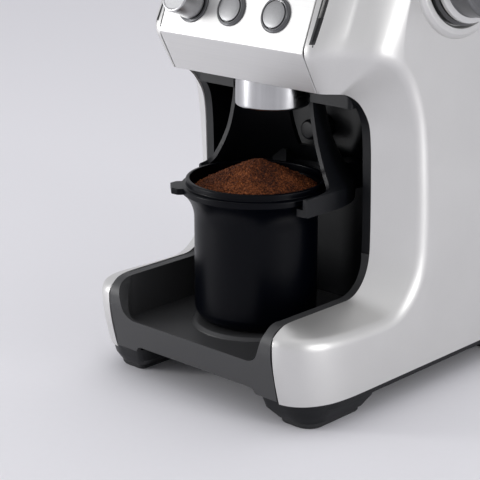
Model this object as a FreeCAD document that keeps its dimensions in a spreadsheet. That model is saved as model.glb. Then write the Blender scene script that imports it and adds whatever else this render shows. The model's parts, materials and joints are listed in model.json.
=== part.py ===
import FreeCAD, Part
import math
import os

import Sketcher
from FreeCAD import Vector

# Burr coffee grinder, in millimetres.
# Drawn about the casing's middle plane, then set so that the whole, dial included, is centred on X.
# The floor is Z = 0. +X is the dial side, -Y the front, +Z up.

SIZES = {
    # casing, seen from the side: an open bay between the base and the head
    "body_half_width": 71.0,
    "body_rear": 108.0,
    "body_top": 253.0,
    "shell_bottom": 13.3,
    "shell_wall": 2.4,
    "side_rear": 82.0,
    "rear_corner_radius": 22.0,
    "base_front": 108.4,
    "base_toe": 102.7,
    "base_top": 50.0,
    "base_lip_radius": 9.0,
    "column_front": 39.6,
    "head_floor": 147.0,
    "bay_low_radius": 16.0,
    "bay_high_radius": 19.0,
    "bay_half_width": 52.2,
    # the bevelled band round the bay, from its inner edge out to the side face
    "band_drop": 7.0,
    "band_set_back": 15.5,
    "band_rise": 20.0,
    "band_middle": 64.0,
    "toe_set_back": 24.4,
    "toe_middle_set_back": 10.0,
    # head front: chin, fold and leaning face
    "panel_half_width": 44.0,
    "chin_front": 68.9,
    "fold_front": 79.15,
    "fold_height": 166.0,
    "panel_run": 34.45,
    "head_corner_set_back": 5.0,
    "head_middle_set_back": 20.0,
    "head_side_set_back": 29.0,
    "panel_sheet": 1.3,
    "panel_gap": 0.3,
    # base
    "plate_inset": 2.0,
    "plate_bottom": 9.8,
    "plate_top": 13.0,
    "foot_pad_height": 3.0,
    "foot_block_inner": 42.0,
    "foot_block_outer": 67.0,
    "foot_slope": 5.0,
    "front_foot_front": 97.0,
    "front_foot_rear": 60.0,
    "rear_foot_front": 38.0,
    "rear_foot_rear": 98.0,
    "pad_inset": 2.5,
    "pad_corner_radius": 6.0,
    "screw_side": 60.0,
    "screw_front": 50.0,
    "screw_rear": 62.0,
    "screw_shank_radius": 1.8,
    "screw_head_radius": 3.6,
    "screw_head_height": 1.6,
    "lug_half_width": 5.0,
    "lug_top": 21.0,
    # rear cover
    "vent_count": 8,
    "vent_half_width": 24.0,
    "vent_height": 3.0,
    "vent_pitch": 7.0,
    "vent_bottom": 150.0,
    "cord_hole_radius": 6.0,
    "cord_hole_side": 38.0,
    "cord_hole_height": 34.0,
    "gland_flange_radius": 9.5,
    "gland_flange": 1.6,
    "gland_bore_radius": 3.6,
    "gland_length": 12.0,
    # top deck
    "deck_thickness": 6.0,
    "deck_gap": 0.4,
    "deck_collar_radius": 41.2,
    "deck_collar_height": 3.4,
    # controls, measured on the leaning face from the fold line
    "control_row": 14.8,
    "knob_side": 26.6,
    "knob_radius": 7.6,
    "knob_length": 13.5,
    "knob_shaft_radius": 3.0,
    "knob_ring_radius": 9.2,
    "knob_ring_thickness": 0.8,
    "program_side": 2.7,
    "start_side": 24.0,
    "button_radius": 6.1,
    "button_gap": 0.4,
    "button_ring_radius": 8.1,
    "button_ring_thickness": 1.2,
    "button_proud": 1.9,
    "button_travel": 1.0,
    "button_stem_radius": 2.0,
    "board_depth": 12.0,
    "board_thickness": 1.6,
    "board_half_width": 40.0,
    "board_low": 5.0,
    "board_high": 72.0,
    "switch_half_width": 3.0,
    "switch_height": 3.0,
    "window_half_width": 31.0,
    "window_low": 36.0,
    "window_high": 66.0,
    "window_corner_radius": 4.0,
    "window_proud": 0.6,
    # dosing bay
    "bay_gap": 0.5,
    "liner_wall": 4.5,
    "bay_back": 5.0,
    "liner_back_wall": 2.5,
    "ceiling_thickness": 2.6,
    "seam_height": 68.3,
    "tray_gap": 0.3,
    "boss_bottom": 137.5,
    "boss_front": 50.0,
    "boss_hole_radius": 24.0,
    "tray_bottom": 14.0,
    "tray_floor_low": 27.0,
    "tray_floor": 29.0,
    "tray_lip": 31.0,
    "tray_lip_half_width": 42.5,
    "tray_lip_radius": 6.0,
    "tray_pad_radius": 29.5,
    "tray_front_wall": 2.6,
    "outlet_front": 49.0,
    "collar_radius": 17.5,
    "collar_wall": 1.8,
    "collar_bottom": 133.0,
    "collar_edge_radius": 1.4,
    # cradle
    "cradle_axis_front": 50.0,
    "cradle_wall": 2.2,
    "cradle_top_radius": 25.0,
    "cradle_mid_radius": 29.0,
    "cradle_mid_height": 118.0,
    "cradle_rim_radius": 37.0,
    "cradle_rim_height": 101.0,
    "fork_outer": 40.0,
    "fork_inner": 37.0,
    "fork_top": 98.2,
    "fork_bottom": 89.6,
    "fork_front": 70.2,
    "ledge_inner": 33.4,
    "ledge_top": 93.1,
    "slot_share": 1.8,
    "collar_way_gap": 1.0,
    "lug_reach": 21.0,
    "cradle_lug_inner": 15.0,
    "cradle_lug_top": 104.0,
    "bracket_half_width": 24.0,
    "bracket_top": 130.0,
    "bracket_thickness": 4.8,
    "bracket_gap": 0.4,
    "trigger_height": 116.0,
    "trigger_radius": 5.0,
    "trigger_length": 14.0,
    "trigger_travel": 3.0,
    "trigger_flange_radius": 7.0,
    "trigger_flange": 1.2,
    "trigger_clearance": 0.4,
    # cup and grounds
    "cup_front": 60.0,
    "cup_radius": 29.1,
    "cup_wall": 2.2,
    "cup_top": 100.0,
    "cup_bottom_gap": 0.3,
    "cup_foot_radius": 2.8,
    "cup_flare_start": 84.0,
    "cup_flare_radius": 32.0,
    "cup_flange_radius": 35.3,
    "cup_flange_bottom": 93.7,
    "cup_flange_top": 96.8,
    "cup_lip_outer": 33.0,
    "cup_lip_inner": 30.9,
    "cup_tab_reach": 40.0,
    "cup_tab_half_width": 7.5,
    "cup_tab_radius": 3.0,
    "cup_tab_angle": 228.0,
    "grounds_gap": 0.2,
    "grounds_edge_height": 94.5,
    "grounds_peak": 108.6,
    # grind-size dial on the right side
    "burr_axis_back": -0.8,
    "dial_height": 202.4,
    "flange_radius": 35.9,
    "flange_inner_radius": 30.6,
    "flange_proud": 2.6,
    "dial_ring_radius": 30.2,
    "dial_ring_proud": 4.4,
    "dial_radius": 25.7,
    "dial_skirt_radius": 27.2,
    "dial_skirt": 2.4,
    "dial_gap": 0.4,
    "dial_reach": 17.75,
    "dial_shaft_radius": 4.0,
    "dial_shaft_cap": 4.0,
    "dial_hole_radius": 5.0,
    "bush_flange_radius": 12.0,
    "bush_radius": 7.0,
    "bush_length": 9.0,
    "running_fit": 0.05,
    # crown gear on the adjusting collar, and the pinion on the dial's shaft
    "pinion_teeth": 16,
    "crown_teeth": 60,
    "dial_module": 1.25,
    "crown_face": 4.4,
    "crown_tooth_width": 1.1,
    "crown_tooth_height": 2.4,
    "crown_plate": 2.8,
    # grinding chamber
    "spindle_radius": 4.0,
    "spindle_bottom": 153.4,
    "spindle_top": 214.0,
    "chamber_radius": 31.0,
    "chamber_bore": 28.0,
    "chamber_floor": 2.0,
    "chamber_top": 199.0,
    "chamber_mouth_half_width": 9.0,
    "chamber_mouth_height": 6.4,
    "collar_ring_radius": 33.4,
    "collar_ring_top": 216.0,
    "collar_ledge_top": 210.2,
    "collar_ledge_radius": 28.2,
    "impeller_radius": 26.0,
    "impeller_plate": 1.6,
    "paddle_height": 4.4,
    "paddle_count": 4,
    "cone_bottom": 185.0,
    "cone_radius": 19.0,
    "cone_skirt": 4.0,
    "cone_top_radius": 11.0,
    "cone_height": 21.0,
    "flute_count": 12,
    "flute_depth": 2.2,
    "nut_radius": 7.0,
    "nut_height": 5.0,
    "burr_gap": 0.9,
    "burr_ring_radius": 26.0,
    "burr_ring_bottom": 191.0,
    "burr_ring_top": 212.0,
    "carrier_wall": 1.6,
    "carrier_flange_radius": 30.0,
    "carrier_flange_bottom": 211.0,
    "carrier_top": 215.0,
    "carrier_mouth_radius": 20.0,
    # chute from the chamber to the collar
    "chute_wall": 2.0,
    "chute_top": 187.2,
    "chute_rear_low": 37.0,
    # gearbox
    "gearbox_bottom": 153.0,
    "gearbox_floor": 2.4,
    "gearbox_rim": 174.0,
    "gearbox_cover": 3.0,
    "gearbox_wall": 2.4,
    "gear_clearance": 2.2,
    "gearbox_rear_reach": 24.0,
    "gearbox_corner_radius": 10.0,
    "gear_module": 1.25,
    "motor_teeth": 12,
    "large_teeth": 48,
    "small_teeth": 14,
    "output_teeth": 46,
    "gear_face": 5.0,
    "low_gear_bottom": 158.6,
    "high_gear_bottom": 166.0,
    "idler_pin_radius": 3.0,
    "bearing_radius": 8.0,
    "bearing_height": 4.4,
    "boss_wall": 2.4,
    # motor
    "motor_distance_modules": 42.24,
    "motor_radius": 33.0,
    "motor_top": 149.5,
    "motor_length": 86.0,
    "motor_nose_radius": 10.0,
    "motor_nose": 2.4,
    "motor_shaft_radius": 2.5,
    "motor_shaft_top": 164.4,
    "mount_count": 3,
    "mount_radius": 5.0,
    "mount_ring_radius": 24.0,
    # power board
    "power_board_half_width": 42.0,
    "power_board_low": 44.0,
    "power_board_high": 128.0,
    "power_board_gap": 8.0,
    "board_part_depth": 7.0,
    # hopper
    "hopper_wall": 2.4,
    "hopper_throat_radius": 17.0,
    "hopper_throat_bottom": 236.0,
    "hopper_neck_radius": 38.0,
    "hopper_neck_gap": 0.5,
    "hopper_neck_depth": 9.0,
    "hopper_seat_gap": 0.4,
    "hopper_shoulder_radius": 43.4,
    "hopper_waist_radius": 54.0,
    "hopper_waist_rise": 20.0,
    "hopper_top_radius": 60.0,
    "hopper_rise": 118.0,
    "hopper_cone_rise": 10.0,
    "lid_height": 18.0,
    "lid_seat_gap": 0.3,
    "lid_plug_radius": 56.0,
    "lid_plug_depth": 8.0,
    "lid_edge_radius": 5.0,
    "gasket_proud": 0.8,
    "gasket_height": 3.0,
    "lock_post_radius": 5.0,
    "lock_knob_radius": 15.0,
    "lock_knob_height": 10.0,
    "lock_rise": 53.0,
    "gate_radius": 16.3,
    "gate_thickness": 2.0,
    "gate_hole_radius": 5.0,
}

# shapes kept as shares of a size, and plain counts
FOLD_CLIMB_PARTS = 12
CHIN_TUCK_PARTS = 4
VENT_ROUNDING = 0.45
VENT_CUT_WALLS = 3
CHUTE_SHOULDER_WALLS = 3
CHUTE_INNER_SHOULDER_WALLS = 2.6
CHUTE_LEAN_WALLS = 1.2
TRAY_WELL_WALLS = 2
TRAY_CUT_WALLS = 4
HEAP_SHOULDER_SHARE = 0.62
TOOTH_ADDENDUM = 0.85
TOOTH_DEDENDUM = 1.2
TOOTH_ROOT_EXTRA = 0.2
TOOTH_ROOT_WIDTH = 1.25
TOOTH_TIP_WIDTH = 0.55
MOUTH_CUT_START = 1.2
MOUTH_CUT_LENGTH = 0.6
NUT_CORNER_DEGREES = 60
BOARD_PARTS = ((0.12, 0.3), (0.42, 0.56), (0.68, 0.88))
BOARD_PART_LEFT = 0.7
BOARD_PART_RIGHT = 0.6
GATE_HOLE_OFFSET = 0.63
SMALLEST_REAL_CUT = 0.5


class Size:
    """A length, angle or count with its number and the sheet expression that gives it."""

    def __init__(self, number, text):
        self.number = float(number)
        self.text = text

    def __float__(self):
        return self.number

    def __add__(self, other):
        other = as_size(other)
        return Size(self.number + other.number, f"({self.text} + {other.text})")

    def __sub__(self, other):
        other = as_size(other)
        return Size(self.number - other.number, f"({self.text} - {other.text})")

    def __mul__(self, other):
        other = as_size(other)
        return Size(self.number * other.number, f"({self.text} * {other.text})")

    def __truediv__(self, other):
        other = as_size(other)
        return Size(self.number / other.number, f"({self.text} / {other.text})")

    def __radd__(self, other):
        return as_size(other) + self

    def __rsub__(self, other):
        return as_size(other) - self

    def __rmul__(self, other):
        return as_size(other) * self

    def __rtruediv__(self, other):
        return as_size(other) / self

    def __neg__(self):
        return -1 * self


def as_size(value):
    return value if isinstance(value, Size) else Size(value, repr(float(value)))


def sine(angle):
    return Size(math.sin(math.radians(angle.number)), f"sin({angle.text})")


def cosine(angle):
    return Size(math.cos(math.radians(angle.number)), f"cos({angle.text})")


def square_root(value):
    return Size(math.sqrt(value.number), f"sqrt({value.text})")


def direction(across, along):
    """The angle in degrees of a line that runs this far in X and Y."""
    degrees = math.degrees(math.atan2(along.number, across.number))
    return Size(degrees, f"(atan2({along.text}; {across.text}) / 1 deg)")


class Sheet:
    """The spreadsheet of driving sizes, each read as sizes.name."""

    def __init__(self, document, numbers):
        self.sheet = document.addObject("Spreadsheet::Sheet", "Sizes")
        for row, (name, number) in enumerate(numbers.items(), start=1):
            self.sheet.set(f"A{row}", name)
            self.sheet.set(f"B{row}", str(number))
            self.sheet.setAlias(f"B{row}", name)
            setattr(self, name, Size(number, f"Sizes.{name}"))


doc = FreeCAD.newDocument("burr_coffee_grinder")
sizes = Sheet(doc, SIZES)
doc.recompute()
nodes = []

X_AXIS = (1, 0, 0)
Y_AXIS = (0, 1, 0)
Z_AXIS = (0, 0, 1)


# Drawing helpers: outlines are lists of corners (u, v) or (u, v, corner radius).

class Disc:
    """A circle in a sketch."""

    def __init__(self, radius, u=0, v=0):
        self.radius = as_size(radius)
        self.u = as_size(u)
        self.v = as_size(v)


def pin_point(sketch, shape, point, u, v):
    """Hold a point of a sketch at (u, v) from the sketch's origin."""
    for kind, value in (("DistanceX", u), ("DistanceY", v)):
        index = sketch.addConstraint(Sketcher.Constraint(kind, -1, 1, shape, point, value.number))
        sketch.setExpression(f"Constraints[{index}]", value.text)


def draw_disc(sketch, disc):
    centre = Vector(disc.u.number, disc.v.number, 0)
    circle = sketch.addGeometry(Part.Circle(centre, Vector(0, 0, 1), disc.radius.number), False)
    index = sketch.addConstraint(Sketcher.Constraint("Radius", circle, disc.radius.number))
    sketch.setExpression(f"Constraints[{index}]", disc.radius.text)
    pin_point(sketch, circle, 3, disc.u, disc.v)


class Corner:
    """One corner of an outline, with where its rounding starts, is halfway and ends."""

    def __init__(self, before, here, after, radius):
        self.here = here
        self.radius = radius
        self.enter = here
        self.leave = here
        if radius is None:
            return
        back = (before - here).normalize()
        forward = (after - here).normalize()
        half_angle = back.getAngle(forward) / 2
        reach = radius.number / math.tan(half_angle)
        self.enter = here + back * reach
        self.leave = here + forward * reach
        inward = (back + forward).normalize()
        self.middle = here + inward * (radius.number / math.sin(half_angle) - radius.number)


def draw_outline(sketch, outline):
    """A closed outline of straight edges, with arcs at the corners that have a radius."""
    spots = [[as_size(value) for value in corner] for corner in outline]
    places = [Vector(spot[0].number, spot[1].number, 0) for spot in spots]
    count = len(spots)
    corners = []
    for i, spot in enumerate(spots):
        radius = spot[2] if len(spot) > 2 else None
        corners.append(Corner(places[i - 1], places[i], places[(i + 1) % count], radius))
    edges = []
    for i, corner in enumerate(corners):
        line = Part.LineSegment(corner.leave, corners[(i + 1) % count].enter)
        edges.append(sketch.addGeometry(line, False))
    for i, corner in enumerate(corners):
        before, after = edges[i - 1], edges[i]
        if corner.radius is None:
            sketch.addConstraint(Sketcher.Constraint("Coincident", before, 2, after, 1))
            pin_point(sketch, after, 1, spots[i][0], spots[i][1])
            continue
        arc = sketch.addGeometry(Part.Arc(corner.enter, corner.middle, corner.leave), False)
        starts_first = (sketch.getPoint(arc, 1) - corner.enter).Length < (
            sketch.getPoint(arc, 2) - corner.enter).Length
        first, last = (1, 2) if starts_first else (2, 1)
        sketch.addConstraint(Sketcher.Constraint("Tangent", before, 2, arc, first))
        sketch.addConstraint(Sketcher.Constraint("Tangent", arc, last, after, 1))
        index = sketch.addConstraint(Sketcher.Constraint("Radius", arc, corner.radius.number))
        sketch.setExpression(f"Constraints[{index}]", corner.radius.text)
        mark = sketch.addGeometry(Part.Point(corner.here), True)
        sketch.addConstraint(Sketcher.Constraint("PointOnObject", mark, 1, before))
        sketch.addConstraint(Sketcher.Constraint("PointOnObject", mark, 1, after))
        pin_point(sketch, mark, 1, spots[i][0], spots[i][1])


def add_sketch(body, role, shapes, start=0):
    """A sketch on one of the body's own planes, moved along the plane's axis to start."""
    sketch = body.newObject("Sketcher::SketchObject", body.Name + "_sketch")
    plane = next(item for item in body.Origin.OriginFeatures if item.Role == role)
    sketch.AttachmentSupport = [(plane, "")]
    sketch.MapMode = "FlatFace"
    along = -as_size(start) if role == "XZ_Plane" else as_size(start)
    sketch.setExpression("AttachmentOffset.Base.z", along.text)
    for shape in shapes:
        if isinstance(shape, Disc):
            draw_disc(sketch, shape)
        else:
            draw_outline(sketch, shape)
    return sketch


def new_body(name):
    return doc.addObject("PartDesign::Body", name)


def pad(body, role, shapes, start, length):
    """Add the shapes, from start along +X, +Y or +Z for this length."""
    feature = body.newObject("PartDesign::Pad", body.Name + "_pad")
    feature.Profile = add_sketch(body, role, shapes, start)
    feature.setExpression("Length", as_size(length).text)
    feature.Reversed = role == "XZ_Plane"
    body.Tip = feature
    return feature


def pocket(body, role, shapes, start, length):
    """Cut the shapes away, from start along +X, +Y or +Z for this length."""
    feature = body.newObject("PartDesign::Pocket", body.Name + "_pocket")
    feature.Profile = add_sketch(body, role, shapes, start)
    feature.setExpression("Length", as_size(length).text)
    feature.Reversed = role != "XZ_Plane"
    body.Tip = feature
    return feature


def ring_pattern(body, feature, count):
    """Repeat a feature evenly round the body's Z axis."""
    pattern = body.newObject("PartDesign::PolarPattern", body.Name + "_pattern")
    pattern.Originals = [feature]
    pattern.Axis = (next(item for item in body.Origin.OriginFeatures if item.Role == "Z_Axis"), [""])
    pattern.Angle = 360
    pattern.setExpression("Occurrences", count.text)
    body.Tip = pattern
    return pattern


def turned(name, outline, angle=360):
    """A body turned about Z from an outline of (radius, height) corners."""
    body = new_body(name)
    sketch = add_sketch(body, "XZ_Plane", [outline])
    feature = body.newObject("PartDesign::Revolution", name + "_turn")
    feature.Profile = sketch
    feature.ReferenceAxis = (sketch, ["V_Axis"])
    feature.Angle = angle
    body.Tip = feature
    return body


def prism(name, role, shapes, start, length):
    """A body that is one straight extrusion."""
    body = new_body(name)
    pad(body, role, shapes, start, length)
    return body


def place(item, x=0, y=0, z=0, axis=Z_AXIS, angle=0):
    """Put an item at a point, turned about an axis, both bound to the sheet."""
    point = "; ".join(as_size(value).text for value in (x, y, z))
    about = "; ".join(str(value) for value in axis)
    turn_text = f"rotation(vector({about}); {as_size(angle).text})"
    item.setExpression("Placement", f"placement(vector({point}); {turn_text})")
    return item


def fuse(name, *pieces):
    joined = doc.addObject("Part::MultiFuse", name)
    joined.Shapes = list(pieces)
    joined.Refine = True
    return joined


def cut(name, base, *tools):
    tool = tools[0] if len(tools) == 1 else fuse(name + "_tools", *tools)
    result = doc.addObject("Part::Cut", name)
    result.Base = base
    result.Tool = tool
    result.Refine = True
    return result


def common(name, first, second):
    result = doc.addObject("Part::MultiCommon", name)
    result.Shapes = [first, second]
    return result


def mirrored(name, source):
    """A copy on the other side of the casing's middle plane."""
    copy = doc.addObject("Part::Mirroring", name)
    copy.Source = source
    copy.Base = Vector(0, 0, 0)
    copy.Normal = Vector(1, 0, 0)
    return copy


def node(item, label):
    """Set a finished piece in the frame of the whole, dial included, and name it as its file."""
    piece = doc.addObject("Part::Compound", label + "_piece")
    piece.Links = [item]
    place(piece, -s.dial_reach / 2)
    piece.Label = label
    nodes.append(piece)
    return item


def rectangle(low_u, low_v, high_u, high_v, radius=None):
    corners = [(low_u, low_v), (high_u, low_v), (high_u, high_v), (low_u, high_v)]
    return [corner if radius is None else corner + (radius,) for corner in corners]


def spun(outline, angle):
    """The outline turned about the sketch's origin."""
    across, along = cosine(angle), sine(angle)
    corners = []
    for corner in outline:
        u, v = as_size(corner[0]), as_size(corner[1])
        corners.append((u * across - v * along, u * along + v * across) + tuple(corner[2:]))
    return corners


# Driving lines that several pieces share.

s = sizes
band_width = s.body_half_width - s.bay_half_width
band_share = (s.band_middle - s.bay_half_width) / band_width
head_rise = s.body_top - s.fold_height
head_run = s.panel_run
panel_lean = 90 - direction(head_run, head_rise)
shell_height = s.body_top - s.shell_bottom
deck_bottom = s.body_top - s.deck_thickness
liner_half_width = s.bay_half_width - s.bay_gap
liner_inner = liner_half_width - s.liner_wall
ceiling_bottom = s.head_floor + s.bay_gap
ceiling_top = ceiling_bottom + s.ceiling_thickness
burr_y = s.burr_axis_back
outlet_y = -s.outlet_front
chamber_bottom = s.gearbox_rim + s.gearbox_cover
chamber_mouth_low = chamber_bottom + s.chamber_floor
chamber_mouth_top = chamber_mouth_low + s.chamber_mouth_height
collar_top = ceiling_top
cup_bottom = s.tray_lip + s.cup_bottom_gap


# Side shells: a folded band round the bay, the side plate and the corner of the head.

def band_section(share, toe_set_back, head_set_back):
    """The band's cut at a share of the way from the bay's edge to the side face.

    Each corner is (y, z, radius, y step, z step), the steps pointing into the wall.
    """
    base_top = s.base_top - s.band_drop * share
    column = s.band_set_back * share - s.column_front
    head_floor = s.head_floor + s.band_rise * share
    fold_y = head_set_back - s.fold_front
    fold_height = s.fold_height + s.band_rise * share / FOLD_CLIMB_PARTS
    chin_y = fold_y + (s.fold_front - s.chin_front) * (1 - share) - share / CHIN_TUCK_PARTS
    top_y = fold_y + head_run
    return [
        (toe_set_back - s.base_toe, s.shell_bottom, None, 1, 0),
        (toe_set_back - s.base_front, base_top, s.base_lip_radius, 1, -1),
        (column, base_top, s.bay_low_radius, 1, -1),
        (column, head_floor, s.bay_high_radius, 1, 1),
        (chin_y, head_floor, None, 1, 1),
        (fold_y, fold_height, None, 1, 1),
        (top_y, s.body_top, None, 1, 0),
    ]


def strip(section):
    """A closed thin strip: the section's outer line and the same line one wall inside."""
    outer = []
    inner = []
    for y, z, radius, y_step, z_step in section:
        outer.append((y, z) if radius is None else (y, z, radius))
        inner_y = y + s.shell_wall * y_step
        inner_z = z + s.shell_wall * z_step
        if radius is None:
            inner.append((inner_y, inner_z))
        else:
            grow = -1 if radius is s.base_lip_radius else 1
            inner.append((inner_y, inner_z, radius + s.shell_wall * grow))
    return outer + inner[::-1]


def lofted(name, role, sections):
    """A ruled loft through outlines, each given with its place along the plane's axis."""
    body = new_body(name)
    sketches = [add_sketch(body, role, [outline], start) for start, outline in sections]
    feature = body.newObject("PartDesign::AdditiveLoft", name + "_loft")
    feature.Profile = sketches[0]
    feature.Sections = sketches[1:]
    feature.Ruled = True
    body.Tip = feature
    return body


def side_shell(name):
    """One side of the casing, drawn on the +X side."""
    edge = band_section(as_size(0), as_size(0), s.head_corner_set_back)
    middle = band_section(band_share, s.toe_middle_set_back, s.head_middle_set_back)
    outer = band_section(as_size(1), s.toe_set_back, s.head_side_set_back)
    band = lofted(name + "_band", "YZ_Plane", [
        (s.bay_half_width, strip(edge)), (s.band_middle, strip(middle)),
        (s.body_half_width, strip(outer))])
    panel_edge = band_section(as_size(0), as_size(0), as_size(0))
    head = lofted(name + "_head", "YZ_Plane", [
        (s.panel_half_width + s.panel_gap, strip(panel_edge[4:])), (s.bay_half_width, strip(edge[4:]))])
    plate_front = [corner[:2] if corner[2] is None else corner[:3] for corner in outer]
    plate_rear = [(s.side_rear, s.body_top), (s.side_rear, s.shell_bottom)]
    plate = prism(name + "_plate", "YZ_Plane", [plate_front + plate_rear],
                  s.body_half_width - s.shell_wall, s.shell_wall)
    lugs = []
    for index, lug_y in enumerate((-s.screw_front, s.screw_rear)):
        lug = prism(f"{name}_lug_{index}", "XY_Plane", [rectangle(
            s.screw_side - s.lug_half_width, lug_y - s.lug_half_width,
            s.body_half_width - s.shell_wall / 2, lug_y + s.lug_half_width)],
            s.shell_bottom, s.lug_top - s.shell_bottom)
        pocket(lug, "XY_Plane", [Disc(s.screw_shank_radius, s.screw_side, lug_y)],
               s.shell_bottom, s.lug_top - s.shell_bottom)
        lugs.append(lug)
    return fuse(name, band, head, plate, *lugs)


right_blank = side_shell("right_blank")
dial_hole = prism("dial_hole", "YZ_Plane", [Disc(s.dial_hole_radius, burr_y, s.dial_height)],
                  s.band_middle, s.body_half_width)
node(cut("right_shell", right_blank, dial_hole), "right_side_shell")
node(mirrored("left_shell", right_blank), "left_side_shell")


# Rear cover, top deck and base.

cover_outer = s.body_half_width
cover_inner = s.body_half_width - s.shell_wall
rear_inner = s.body_rear - s.shell_wall
rear_inner_radius = s.rear_corner_radius - s.shell_wall
rear_cover = prism("rear_cover_body", "XY_Plane", [[
    (cover_outer, s.side_rear + s.panel_gap),
    (cover_outer, s.body_rear, s.rear_corner_radius),
    (-cover_outer, s.body_rear, s.rear_corner_radius),
    (-cover_outer, s.side_rear + s.panel_gap),
    (-cover_inner, s.side_rear + s.panel_gap),
    (-cover_inner, rear_inner, rear_inner_radius),
    (cover_inner, rear_inner, rear_inner_radius),
    (cover_inner, s.side_rear + s.panel_gap),
]], s.shell_bottom, shell_height)
vents = []
for row in range(SIZES["vent_count"]):
    vent_low = s.vent_bottom + s.vent_pitch * row
    vents.append(rectangle(-s.vent_half_width, vent_low, s.vent_half_width, vent_low + s.vent_height,
                           s.vent_height * VENT_ROUNDING))
vents.append(Disc(s.cord_hole_radius, s.cord_hole_side, s.cord_hole_height))
pocket(rear_cover, "XZ_Plane", vents, rear_inner - s.shell_wall,
       s.shell_wall * VENT_CUT_WALLS)
node(rear_cover, "rear_cover")

gland = turned("cord_gland_body", [
    (s.gland_bore_radius, -s.gland_flange),
    (s.gland_flange_radius, -s.gland_flange),
    (s.gland_flange_radius, 0),
    (s.cord_hole_radius, 0),
    (s.cord_hole_radius, s.gland_length),
    (s.gland_bore_radius, s.gland_length),
])
place(gland, s.cord_hole_side, s.body_rear, s.cord_hole_height, X_AXIS, 90)
node(gland, "cord_gland")

deck_inner = s.body_half_width - s.shell_wall - s.deck_gap
deck_front = head_run - s.fold_front + s.shell_wall + s.deck_gap
deck_outline = [
    (s.panel_half_width, deck_front),
    (s.bay_half_width, deck_front + s.head_corner_set_back),
    (s.band_middle, deck_front + s.head_middle_set_back),
    (deck_inner, deck_front + s.head_side_set_back),
    (deck_inner, rear_inner - s.deck_gap, rear_inner_radius),
    (-deck_inner, rear_inner - s.deck_gap, rear_inner_radius),
    (-deck_inner, deck_front + s.head_side_set_back),
    (-s.band_middle, deck_front + s.head_middle_set_back),
    (-s.bay_half_width, deck_front + s.head_corner_set_back),
    (-s.panel_half_width, deck_front),
]
deck = prism("deck_body", "XY_Plane", [deck_outline], deck_bottom, s.deck_thickness)
pad(deck, "XY_Plane", [Disc(s.deck_collar_radius, 0, burr_y)],
    s.body_top - s.deck_thickness / 2, s.deck_collar_height + s.deck_thickness / 2)
pocket(deck, "XY_Plane", [Disc(s.hopper_neck_radius + s.hopper_neck_gap, 0, burr_y)],
       deck_bottom, s.deck_thickness + s.deck_collar_height)
node(deck, "top_deck")

plate_half_width = s.body_half_width - s.plate_inset
plate_front = s.base_toe - s.plate_inset - s.shell_wall
plate_radius = s.rear_corner_radius - s.plate_inset
plate_outline = rectangle(-plate_half_width, -plate_front, plate_half_width, s.body_rear - s.plate_inset,
                          plate_radius)
base_pieces = [prism("base_slab", "XY_Plane", [plate_outline], s.plate_bottom,
                     s.plate_top - s.plate_bottom)]
foot_spans = [(-s.front_foot_front, -s.front_foot_rear), (s.rear_foot_front, s.rear_foot_rear)]
for index, (front, rear) in enumerate(foot_spans):
    outline = [
        (front, s.plate_bottom),
        (front + s.foot_slope, s.foot_pad_height),
        (rear - s.foot_slope, s.foot_pad_height),
        (rear, s.plate_bottom),
    ]
    wedge = prism(f"foot_wedge_{index}", "YZ_Plane", [outline], s.foot_block_inner,
                  s.foot_block_outer - s.foot_block_inner)
    envelope = prism(f"foot_envelope_{index}", "XY_Plane", [plate_outline], s.foot_pad_height,
                     s.plate_bottom - s.foot_pad_height)
    block = common(f"foot_block_{index}", wedge, envelope)
    base_pieces += [block, mirrored(f"foot_block_left_{index}", block)]
base_blank = fuse("base_blank", *base_pieces)
screw_places = [(side * s.screw_side, along)
                for side in (-1, 1) for along in (-s.screw_front, s.screw_rear)]
screw_holes = []
for index, (x, y) in enumerate(screw_places):
    screw_holes.append(prism(f"screw_hole_{index}", "XY_Plane", [Disc(s.screw_shank_radius, x, y)],
                             0, s.plate_top + s.plate_bottom))
    screw_holes.append(prism(f"screw_recess_{index}", "XY_Plane", [Disc(
        s.screw_head_radius + s.deck_gap, x, y)], 0, s.plate_bottom))
node(cut("base", base_blank, *screw_holes), "base_plate")

screws = []
for index, (x, y) in enumerate(screw_places):
    screw = turned(f"screw_{index}", [
        (0, s.plate_bottom - s.screw_head_height),
        (s.screw_head_radius, s.plate_bottom - s.screw_head_height),
        (s.screw_head_radius, s.plate_bottom),
        (s.screw_shank_radius, s.plate_bottom),
        (s.screw_shank_radius, s.lug_top),
        (0, s.lug_top),
    ])
    screws.append(place(screw, x, y))
node(fuse("screws", *screws), "base_screws")

for (front, rear), label in zip(foot_spans, ("front_feet", "rear_feet")):
    pads = []
    for side in (-1, 1):
        inner = side * (s.foot_block_inner + s.pad_inset)
        outer = side * (s.foot_block_outer - s.pad_inset)
        low, high = (inner, outer) if side > 0 else (outer, inner)
        pads.append(prism(f"{label}_{side + 1}", "XY_Plane", [rectangle(
            low, front + s.foot_slope + s.pad_inset, high, rear - s.foot_slope - s.pad_inset,
            s.pad_corner_radius)], 0, s.foot_pad_height))
    node(fuse(label + "_pair", *pads), label)


# Control panel: a folded sheet, with its controls placed on the leaning face.

def on_panel(item):
    """Place an item drawn in the face's own frame: X across, Y up the slope, Z outwards."""
    return place(item, 0, -s.fold_front, s.fold_height, X_AXIS, 90 - panel_lean)


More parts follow.
